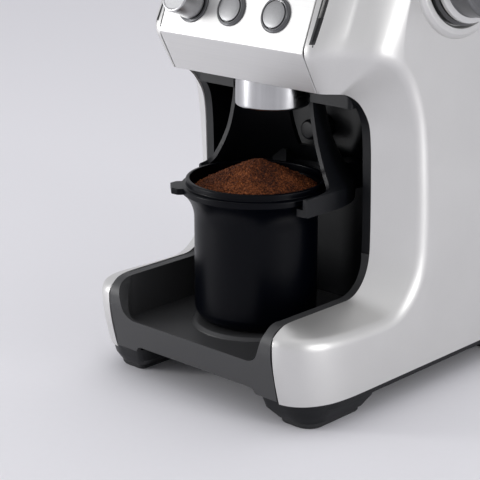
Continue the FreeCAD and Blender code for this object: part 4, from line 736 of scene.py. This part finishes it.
gland_line = rounded([(3.6, 96), (6, 96), (6, 108.05), (9.5, 108.05, 0.4), (9.5, 109.6, 1.0),
                      (3.6, 109.6, 0.5)], 4)
gland = turned("lead_gland", gland_line, (38, 34), "XZ", 48)
soften(gland, 0.15, 2)
hand_over(gland, "housing", "rubber", "cord_gland")


# %% The chassis plate and the feet
def foot_ring(front, rear, inner, outer, z, corner, side=1):
    """One foot's outline; the corner under the shell's own corner is the roundest."""
    line = rounded([(inner, front, corner / 3), (outer, front, corner),
                    (outer, rear, corner / 3), (inner, rear, corner / 3)], 6)
    return [(side * x, y, z) for x, y in line]


plate = prism("chassis_plate", "XY", rounded([
    (-69, -98.3, 20), (69, -98.3, 20), (69, 106, 20), (-69, 106, 20)], 10), 9.9, 13.0)
blocks = []
for side in (-1, 1):
    for front, rear in ((-99.8, -48), (38, 98)):
        top = foot_ring(front, rear, 37, 68.2, 13.9 if front < 0 else 12.9, 15 if front < 0 else 8, side)
        knee = foot_ring(front + 2.0, rear - 3.0, 38.5, 67.0, 7.4, 14 if front < 0 else 8, side)
        low = foot_ring(front + 5.5, rear - 8.0, 43.5, 64.8, 3.0, 11 if front < 0 else 7, side)
        blocks.append(sweep("foot_block", [top, knee, low]))
front_gap = prism("front_gap", "XY", [(-46, -110), (46, -110), (40, -84), (-40, -84)], 9, 14)
carve(plate, "DIFFERENCE", front_gap)
carve(plate, "UNION", *blocks)
soften(plate, 0.7, 3)
hand_over(plate, "housing", "matte_black", "base_plate")

for label, node, front, rear in (("front", "front_feet", -93.0, -58), ("rear", "rear_feet", 46, 90)):
    pads = []
    for side in (-1, 1):
        pads.append(sweep(f"{label}_pad", [
            foot_ring(front, rear, 45, 63.6, 2.95, 8, side),
            foot_ring(front, rear, 45, 63.6, 1.0, 8, side),
            foot_ring(front + 0.8, rear - 0.8, 45.8, 62.8, 0.0, 7.4, side)]))
    carve(pads[0], "UNION", pads[1])
    pads[0].name = f"{label}_foot_pads"
    soften(pads[0], 0.4, 2)
    hand_over(pads[0], "housing", "rubber", node)

# %% [markdown]
# ## The control panel
#
# A thin stainless sheet is folded once: a chin that slopes back over the bay and a face that
# leans away from the user. The fold is a small radius, not a sharp line. It is drawn as a profile
# with its own thickness and pushed across, so the brushing runs from side to side.

# %% The folded sheet and the display window
panel_profile = rounded([
    (-68.9, 147.0, 0.5), (FOLD[0], FOLD[1], 1.6), (-44.7, BODY_TOP), (-43.3, BODY_TOP),
    (-77.6, 166.4, 1.0), (-67.7, 148.1, 0.4), (-62.0, 148.1), (-62.0, 147.0)], 6)
panel = prism("control_face", "YZ", panel_profile, -43.75, 43.75)
soften(panel, 0.3, 2)
hand_over(panel, "housing", "panel_steel", "control_panel")

window = prism("display_glass", "panel", rounded([
    (-31, 36, 4), (31, 36, 4), (31, 66, 4), (-31, 66, 4)], 8), 0.02, 0.6)
soften(window, 0.3, 2)
hand_over(window, "housing", "gloss_black", "display_window")

# %% [markdown]
# ## Knob and buttons
#
# The knob is a plain turned cylinder standing on a ring, and the two buttons are slightly domed
# discs, each in a thin bright ring set in a dark one. All are lathe work, so each is a profile of
# radius and height spun about its own axis on the leaning face.

# %% The amount knob and its base ring
KNOB = (-26.6, 14.8)
base_ring = turned("knob_seat", rounded([
    (4.2, 0.05), (9.2, 0.05, 0.2), (8.9, 0.85, 0.35), (8.0, 0.75), (4.2, 0.75)], 4), KNOB, "panel")
soften(base_ring, 0.1, 2)
hand_over(base_ring, "housing", "dark_metal", "knob_base_ring")

knob_profile = rounded([
    (0.0, 1.0), (7.3, 1.0, 0.3), (7.6, 1.6), (7.6, 13.4, 0.7), (6.4, 13.5), (6.1, 13.2, 0.2),
    (0.0, 13.1)], 5)
knob = turned("dose_knob", knob_profile, KNOB, "panel", 128)
soften(knob, 0.1, 2)
hand_over(knob, "amount_knob", "control_metal", "amount_knob")


# %% The buttons and their rings
def button_at(across, name, node):
    dome = [(6.1 * share, 2.25 - 0.42 * share ** 2) for share in (0, 0.25, 0.5, 0.7, 0.85)]
    profile = dome + rounded([(5.75, 1.80), (6.1, 1.78, 0.3), (6.1, -9.0), (0, -9.0)], 4, False)
    made = turned(name, profile, (across, 14.8), "panel")
    soften(made, 0.08, 2)
    return hand_over(made, node, "control_metal", node, finish=button_metal)


rings = []
for across in (-2.7, 24.0):
    rings.append(turned("ring", rounded([
        (6.5, 0.05), (6.5, 1.5, 0.2), (7.15, 1.6, 0.2), (7.35, 1.1, 0.1), (7.6, 1.0, 0.1),
        (8.1, 0.7, 0.3), (8.1, 0.05)], 4), (across, 14.8), "panel"))
carve(rings[0], "UNION", rings[1])
rings[0].name = "button_bezels"
soften(rings[0], 0.08, 2)
hand_over(rings[0], "housing", "dark_metal", "button_rings")
button_at(-2.7, "program_cap", "program_button")
button_at(24.0, "start_cap", "start_button")

# %% [markdown]
# ## The bay: liner, collar and tray
#
# The open bay is lined with moulded black plastic. Seen from above the liner is a U, seen from the
# side it follows the silver opening, so it is made as the common part of those two prisms. A block
# under its ceiling carries the bright outlet collar. The tray below is one moulding with a low
# front lip, cut from a block whose side view is the rim's curve.

# %% The alcove liner
rim_line = [(-39.3, 68.6), (-39.2, 76), (-39.3, 90), (-39.7, 105), (-40.2, 118), (-41.1, 127),
            (-42.6, 132.2), (-45.2, 136.6), (-49.0, 141.1), (-53.7, 144.5), (-58.6, 146.7), (-62.4, 147.5)]
rim = [tuple(spot)[:2] for spot in smooth_line([(y, z, 0) for y, z in rim_line], 3)]
liner_side = prism("liner_side", "YZ", rim + [
    (-60.5, 150.1), (-2.5, 150.1), (-2.5, 14.2), (-5.0, 14.2), (-5.0, 68.6)], -60, 60)
liner = prism("bay_liner", "XY", rounded([
    (-51.7, -70), (-47.2, -70), (-47.2, -5.0, 5), (47.2, -5.0, 5), (47.2, -70), (51.7, -70),
    (51.7, -2.5, 2), (-51.7, -2.5, 2)], 6), 14.2, 150.1)
carve(liner, "INTERSECT", liner_side)
ceiling = prism("ceiling", "XY", [(-48, -60.4), (48, -60.4), (48, -4), (-48, -4)], 147.6, 150.0)
block = prism("block", "XY", rounded([(-47.6, -50, 2), (47.6, -50, 2), (47.6, -4), (-47.6, -4)]),
              137.5, 148.5)
carve(liner, "UNION", ceiling, block)
hole = prism("hole", "XY", circle(24, OUTLET), 130, 147.2)
throat = prism("throat", "XY", circle(17.6, OUTLET), 130, 152)
bush = prism("bush", "XZ", circle(7.4, TRIGGER, 32), -12, 4)
carve(liner, "DIFFERENCE", hole, throat, bush)
soften(liner, 0.7, 3)
hand_over(liner, "housing", "matte_black", "alcove_liner")

# %% The outlet collar
collar = turned("outlet_sleeve", rounded([
    (15.7, 133.0, 0.5), (17.5, 133.0, 1.3), (17.5, 150.0), (15.7, 150.0)], 6), OUTLET, "XY", 128)
soften(collar, 0.12, 2)
hand_over(collar, "housing", "collar_steel", "outlet_collar")

# %% The grinds tray
tray_side = rounded([(-102.2, 14.0, 1.0), (-107.0, 36.0, 20), (-106.5, 49.7, 9), (-39.4, 49.7, 15.7),
                     (-39.4, 68.2), (-5.3, 68.2), (-5.3, 14.0)], 10)
tray = prism("tray_body", "YZ", tray_side, -51.7, 51.7)
well = prism("well", "XY", rounded([(-47.2, -104.4, 9), (47.2, -104.4, 9), (47.2, 10), (-47.2, 10)], 8),
             29.0, 80)
hollow = prism("hollow", "XY", rounded([(-47.2, -99.5, 5), (47.2, -99.5, 5), (47.2, 10), (-47.2, 10)]),
               5, 27.0)
notch = prism("notch", "XZ", rounded([
    (-47.0, 62), (-46.9, 47, 5), (-42.0, 31, 8), (42.0, 31, 8), (46.9, 47, 5), (47.0, 62)], 8),
    -125, -98)
arch = prism("arch", "XZ", rounded([(-42, 10), (-37, 17.2, 3), (37, 17.2, 3), (42, 10)], 6), -125, -90)
carve(tray, "DIFFERENCE", well, hollow, notch, arch)
pad = turned("pad", rounded([(0, 27.5), (31.0, 27.5), (31.0, 29.4, 1.0), (29.4, 30.9, 1.2), (22.0, 31.0),
                             (0, 31.0)], 6), CUP, "XY", 96)
carve(tray, "UNION", pad)
soften(tray, 1.0, 4)
hand_over(tray, "grinds_tray", "matte_black", "grinds_tray", finish=tray_black)

# %% [markdown]
# ## The cradle, its bracket and the cup
#
# The cradle is a moulded half funnel that hangs around the outlet. Low down it turns into two arms
# that hold the cup's flange. It is built as rings that run from one front edge around the back to
# the other, with straight ends that grow forward where the arms are. A wall is then added inwards.
# The left arm stops short, so that the cup's lug has room beside it.

# %% The half funnel
FUNNEL = [  # height, radius, front edge
    (137.2, 24.9, -49.2), (134, 25.2, -49.2), (130, 25.9, -49.2), (124, 27.2, -49.3), (118, 28.9, -49.5),
    (112, 31.4, -50.0), (107, 33.9, -50.7), (103, 36.3, -51.4), (100.8, 38.0, -52.4), (99.6, 39.0, -54.4),
    (98.9, 39.5, -58.5), (98.5, 39.8, -64.0), (98.2, 40.0, -69.6), (97.4, 40.0, -70.2),
    (94, 40.0, -70.2), (90.4, 40.0, -70.0), (89.6, 40.0, -69.4)]
HALF_STEPS, FUNNEL_Y, LEFT_ARM_FRONT = 54, -50, -57.5


def funnel_spot(z, radius, front, share):
    """A point on one half of the funnel, from its front edge round to the back."""
    arm = FUNNEL_Y - front
    along = share * (arm + radius * math.pi / 2)
    if along < arm:
        return radius, front + along, z
    angle = (along - arm) / radius
    return radius * math.cos(angle), FUNNEL_Y + radius * math.sin(angle), z


grid = []
for spot in smooth_line(FUNNEL, 3):
    z, radius, front = spot
    shares = [step / HALF_STEPS for step in range(HALF_STEPS + 1)]
    right_half = [funnel_spot(z, radius, front, share) for share in shares]
    left_half = [funnel_spot(z, radius, max(front, LEFT_ARM_FRONT), share) for share in shares]
    grid.append(right_half + [(-x, y, z) for x, y, z in left_half[-2::-1]])
across = len(grid[0])
funnel_faces = [(r * across + c, r * across + c + 1, (r + 1) * across + c + 1, (r + 1) * across + c)
                for r in range(len(grid) - 1) for c in range(across - 1)]
cradle = piece("portafilter_fork", [spot for row in grid for spot in row], funnel_faces)
back_face = min(cradle.data.polygons, key=lambda face: -face.center.y)
if back_face.normal.y < 0:
    cradle.data.flip_normals()
thicken(cradle, 2.2)
settled(cradle)
extras = []
for side, ledge_front in ((-1, LEFT_ARM_FRONT), (1, -70.0)):
    extras.append(prism("ledge", "XY", rounded([
        (side * 33.4, ledge_front, 0.8), (side * 39.4, ledge_front, 0.8), (side * 39.4, -47.8),
        (side * 33.4, -47.8)]),
        89.7, 93.1))
    extras.append(prism("lug", "YZ", [(-22, 89.8), (-10.4, 89.8), (-10.4, 103), (-22, 103.8)],
                        side * 15, side * 24))
carve(cradle, "UNION", *extras, folded=True)
slot_cut = prism("slot_cut", "YZ", [(-50, 107), (-8, 107), (-8, 140), (-50, 140)], -9, 9)
collar_cut = prism("collar_cut", "YZ", [(-50, 132), (-8, 132), (-8, 140), (-50, 140)], -18.5, 18.5)
carve(cradle, "DIFFERENCE", slot_cut, collar_cut, folded=True)
soften(cradle, 0.8, 4, 40)
hand_over(cradle, "cradle", "matte_black", "portafilter_cradle")

# %% The bracket and the trigger
bracket = prism("cradle_mount", "XZ", rounded([
    (-24, 89.6, 2.2), (24, 89.6, 2.2), (24, 130, 2.2), (-24, 130, 2.2)], 5), -9.8, -5.05)
trigger_way = prism("trigger_way", "XZ", circle(5.4, TRIGGER, 48), -12, 0)
carve(bracket, "DIFFERENCE", trigger_way)
soften(bracket, 0.6, 3)
hand_over(bracket, "housing", "matte_black", "cradle_bracket")

trigger_low, trigger_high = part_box("trigger_button")
front_y, rear_y = trigger_low.y / MM, trigger_high.y / MM
trigger = turned("trigger_cap", rounded([
    (0, front_y), (4.2, front_y + 0.3, 1.0), (5.0, front_y + 2.0, 1.2), (5.0, rear_y - 2.4),
    (7.0, rear_y - 2.4, 0.2), (7.0, rear_y - 1.3, 0.2), (3.0, rear_y - 1.3), (3.0, rear_y),
    (0, rear_y)], 4), TRIGGER, "XZ", 48)
soften(trigger, 0.1, 2)
hand_over(trigger, "trigger_button", "matte_black", "trigger_button")

# %% [markdown]
# ## The dosing cup and the coffee
#
# The cup is a turned aluminium beaker with a black coating, flared under a flange, with a stepped
# lip and one lug that stops it turning in the fork. The coffee is a heap whose outline is set by
# how loose grounds slide: a cone with a soft top. Fractal noise gives the heap its lumps, and a few
# thousand small crumbs are scattered over it, because grounds look wrong without real grains.

# %% The cup
flare = [(29.1 + 5.3 * share ** 2.4, 80 + 13.4 * share) for share in
         (0.15, 0.3, 0.45, 0.6, 0.7, 0.8, 0.88, 0.95, 1)]
cup_profile = rounded([(0, 32.0), (20.0, 32.0, 0.4), (20.8, 31.3, 0.4), (29.1, 31.3, 7.0), (29.1, 80.0)],
                      6, False) + flare
cup_profile += rounded([(34.6, 93.7), (35.3, 93.9, 0.4), (35.3, 96.8, 0.7), (33.0, 97.0, 0.5),
                        (33.0, 100.0, 0.7), (30.9, 100.0, 0.7), (30.9, 96.0, 1.0), (27.0, 84.0, 6),
                        (26.9, 34.6, 5), (0, 33.8)], 5, False)
cup = turned("dosing_beaker", cup_profile, CUP, "XY", 160)
lug_turn = math.radians(228)
lug_line = rounded([(30, -7.5), (37.2, -7.5, 1.0), (40, -4.9, 0.8), (40, 4.9, 0.8),
                    (37.2, 7.5, 1.0), (30, 7.5)])
lug = prism("cup_lug", "XY", [
    (a * math.cos(lug_turn) - b * math.sin(lug_turn),
     -60 + a * math.sin(lug_turn) + b * math.cos(lug_turn)) for a, b in lug_line], 93.9, 96.8)
soften(lug, 0.5, 3)
settled(lug)
carve(cup, "UNION", lug)
soften(cup, 0.12, 2)
hand_over(cup, "dosing_cup", "matte_black", "dosing_cup", finish=cup_black)


# %% The heap of ground coffee
HEAP_PEAK_X, HEAP_REACH, HEAP_EDGE, HEAP_RISE = 0.5, 29.2, 93.4, 14.8
PEAK_ROUND, PEAK_LIFT = 0.012, 0.1
LUMP_SCALE, LUMP_HEIGHT, GRIT_SCALE, GRIT_HEIGHT = 0.16, 0.8, 1.3, 0.32
HEAP_CALM_EDGE, HEAP_CALM_WIDTH = 30, 6


def heap_height(x, y):
    """Height of the heap over the cup's axis, from the edge up to a soft peak."""
    away = math.hypot(x - HEAP_PEAK_X, y)
    cone = 1 - math.sqrt((away / HEAP_REACH) ** 2 + PEAK_ROUND) + PEAK_LIFT
    lumps = noise.fractal(Vector((x * LUMP_SCALE, y * LUMP_SCALE, 3.0)), 1.0, 2.0, 4) * LUMP_HEIGHT
    grit = noise.noise(Vector((x * GRIT_SCALE, y * GRIT_SCALE, 7.0))) * GRIT_HEIGHT
    calm = min(1, (HEAP_CALM_EDGE - away) / HEAP_CALM_WIDTH)
    return HEAP_EDGE + HEAP_RISE * max(0.0, cone) + lumps * calm + grit


HEAP_RADIUS, HEAP_RINGS, HEAP_STEPS = 28.9, 60, 150
heap_points = [(*CUP, heap_height(0, 0))]
for ring in range(1, HEAP_RINGS + 1):
    for x, y in circle(HEAP_RADIUS * ring / HEAP_RINGS, steps=HEAP_STEPS):
        heap_points.append((x, y + CUP[1], heap_height(x, y)))
for depth, radius in ((88.0, 28.6), (86.0, 26.0)):
    heap_points.extend((x, y, depth) for x, y in circle(radius, CUP, HEAP_STEPS))
heap_faces = [(0, 1 + step, 1 + (step + 1) % HEAP_STEPS) for step in range(HEAP_STEPS)]
for ring in range(HEAP_RINGS + 1):
    low = 1 + ring * HEAP_STEPS
    for step in range(HEAP_STEPS):
        beside = (step + 1) % HEAP_STEPS
        heap_faces.append((low + step, low + HEAP_STEPS + step, low + HEAP_STEPS + beside, low + beside))
heap_faces.append(tuple(range(len(heap_points) - HEAP_STEPS, len(heap_points))))

dice = random.Random(41)
crumb_shape = bmesh.new()
bmesh.ops.create_icosphere(crumb_shape, subdivisions=1, radius=1)
crumb_points = [vertex.co.copy() for vertex in crumb_shape.verts]
crumb_faces = [[vertex.index for vertex in face.verts] for face in crumb_shape.faces]
crumb_shape.free()
CRUMBS, CRUMB_LEAST, CRUMB_SPREAD, CRUMB_JITTER, CRUMB_LIFT = 7000, 0.26, 0.40, 0.35, 0.25
for _ in range(CRUMBS):
    away = HEAP_RADIUS * math.sqrt(dice.random())
    angle = dice.random() * math.tau
    x, y = away * math.cos(angle), away * math.sin(angle)
    size = CRUMB_LEAST + CRUMB_SPREAD * dice.random() ** 2
    squash = [size * (0.6 + 0.7 * dice.random()) for _ in range(3)]
    roll = Matrix.Rotation(dice.random() * 6.3, 3, (dice.random() - 0.5, dice.random() - 0.5, 0.4))
    start = len(heap_points)
    for corner in crumb_points:
        jitter = 1 + CRUMB_JITTER * (dice.random() - 0.5)
        spot = roll @ Vector([corner[k] * squash[k] * jitter for k in range(3)])
        height = heap_height(x, y) + size * CRUMB_LIFT
        heap_points.append((x + spot.x, y + CUP[1] + spot.y, height + spot.z))
    heap_faces.extend(tuple(start + index for index in face) for face in crumb_faces)
mesh = bpy.data.meshes.new("coffee_heap")
mesh.from_pydata([at(*spot) for spot in heap_points], [], heap_faces)
mesh.shade_smooth()
heap = bpy.data.objects.new("coffee_heap", mesh)
bpy.context.scene.collection.objects.link(heap)
hand_over(heap, "dosing_cup", "coffee", "coffee_grounds")

# %% [markdown]
# ## The grind dial
#
# On the right side a raised silver ring carries a black ring and the big turned dial. Each is a
# profile spun about the X axis. The dial's face is slightly dished, its face and skirt take a dark
# turned finish, and a bright band at its foot lies next to the black ring behind.

# %% Flange, black ring and dial
DIAL = (BURR_Y, 202.4)
flange = turned("dial_surround", rounded([
    (30.7, 70.9), (36.6, 70.9, 0.2), (35.9, 72.0, 1.2), (34.2, 73.4, 1.6), (31.6, 73.6, 0.7),
    (30.7, 72.6, 0.5)], 5), DIAL, "YZ", 160)
soften(flange, 0.1, 2)
hand_over(flange, "housing", "panel_steel", "dial_flange", finish=finishes["silver_shell"])

black_ring = turned("dial_seat", rounded([
    (8, 71.1), (30.2, 71.1), (30.2, 74.6, 0.5), (28.6, 75.4, 0.5), (27.6, 74.6), (8, 74.6)], 4),
    DIAL, "YZ", 128)
soften(black_ring, 0.1, 2)
hand_over(black_ring, "housing", "gloss_black", "dial_ring")

dial = turned("grind_dial_cap", rounded([
    (0, 75.9), (28.2, 75.9), (28.8, 76.1, 0.3), (28.8, 78.0, 0.6), (26.2, 78.6, 0.3), (25.7, 79.4),
    (25.7, 88.2, 0.9), (24.2, 88.75, 0.5), (22.8, 88.3, 0.5), (8, 87.8), (0, 87.7)], 5), DIAL, "YZ", 160)
soften(dial, 0.1, 2)
hand_over(dial, "grind_dial", "control_metal", "grind_size_dial", finish=dial_metal)
dial.data.materials.append(finishes["panel_steel"])
for face in dial.data.polygons:
    if face.center.x < MIDDLE + 78.9 * MM:
        face.material_index = 1

# %% [markdown]
# ## Top deck, hopper and lid
#
# A gloss black deck closes the body and guides the hopper, which is a clear smoked funnel with a
# lid that plugs it. These are turned as well. The hopper's wall is modelled with its thickness,
# because clear plastic only looks right when light enters one face and leaves another.

# %% The deck
deck_line = [(43.6, -41.5), (57, -29.4), (66.5, -20.6), (68.2, -17)]
deck_outline = [(-x, y) for x, y in deck_line[::-1]] + deck_line + [
    tuple(spot) for spot in rounded([(68.2, -17), (68.2, 105.2, 19), (-68.2, 105.2, 19), (-68.2, -17)],
                                    10, False)[1:-1]]
deck = prism("deck_plate", "XY", deck_outline, 247, 252.9)
collar_band = turned("collar_band", rounded([
    (38.6, 247.2), (41.2, 247.2), (41.2, 256.4, 1.2), (38.6, 256.4, 0.6)], 5), BURR, "XY", 128)
neck_way = prism("neck_way", "XY", circle(38.7, BURR, 128), 240, 260)
carve(deck, "DIFFERENCE", neck_way)
carve(deck, "UNION", collar_band)
soften(deck, 0.5, 3)
hand_over(deck, "housing", "gloss_black", "top_deck")

# %% The hopper, lid, gasket and lock knob
hopper = turned("bean_hopper_body", rounded([
    (17.0, 236.0, 0.4), (19.4, 236.0, 0.4), (19.4, 242.8, 1.0), (35.6, 252.8, 2.0), (35.6, 244.0, 0.4),
    (38.0, 244.0, 0.4), (38.0, 256.8, 0.5), (43.4, 256.8, 1.2), (54.0, 273.0, 9), (60.0, 371.0, 0.6),
    (57.6, 371.0, 0.6), (51.6, 274.2, 8), (41.0, 259.2, 3), (17.0, 245.2, 2)], 6), BURR, "XY", 128)
soften(hopper, 0.1, 2)
hand_over(hopper, "hopper", "tinted_clear", "bean_hopper")

lid = turned("hopper_cap", rounded([
    (0, 386.6), (53.6, 386.6, 1), (53.6, 363.0, 0.4), (56.0, 363.0, 0.6), (56.0, 371.3),
    (60.0, 371.3, 0.8), (60.0, 389.0, 4.5), (46, 389.0, 1.2), (44, 388.0, 1.2), (22, 388.0, 1.0),
    (20, 389.0, 1.0), (0, 389.0)], 6), BURR, "XY", 128)
soften(lid, 0.1, 2)
hand_over(lid, "hopper_lid", "gloss_black", "hopper_lid")

gasket = turned("lid_seal", rounded([
    (56.1, 367.8), (56.75, 368.6, 0.3), (56.75, 369.9, 0.3), (56.1, 370.6)], 4), BURR, "XY", 128)
soften(gasket, 0.05, 2)
hand_over(gasket, "hopper_lid", "rubber", "lid_gasket")

post = turned("lock_knob", rounded([
    (0, 238.0), (16.2, 238.0, 0.4), (16.2, 240.0, 0.4), (5.0, 240.0, 0.8), (5.0, 296.0, 0.6),
    (13.6, 296.0, 0.8), (15.0, 298.0, 0.8), (15.0, 304.6, 1.2), (13.4, 306.0, 0.8), (0, 306.0)], 5),
    BURR, "XY", 96)
grips = []
for index in range(12):
    angle = math.tau * index / 12
    grips.append(turned(f"grip_{index}", [(0, 295), (1.4, 295), (1.4, 307), (0, 307)],
                        (15.9 * math.cos(angle), BURR_Y + 15.9 * math.sin(angle)), "XY", 16))
gates = [turned(f"gate_{side}", [(0, 236), (5, 236), (5, 242), (0, 242)], (side * 10.2, BURR_Y), "XY", 40)
         for side in (-1, 1)]
carve(post, "DIFFERENCE", *grips, *gates)
soften(post, 0.25, 2)
hand_over(post, "hopper_lock", "gloss_black", "hopper_lock_knob")

# %% [markdown]
# ## The works inside
#
# Motor, gears, burrs, boards and chutes keep their CAD meshes, since their shapes are already
# right. Each still gets the finish of its slot, and needs no bevels where nobody looks closely.

# %% Dress the nodes that stay
slot_of = {entry["node"]: entry["material_slot"] for entry in frame["record"]["subparts"]}
dressed = 0
for name, node in nodes.items():
    if node.hide_render:
        continue
    node.data.materials.clear()
    node.data.materials.append(finishes[slot_of[name]])
    dressed += 1
print("CAD nodes dressed:", dressed)
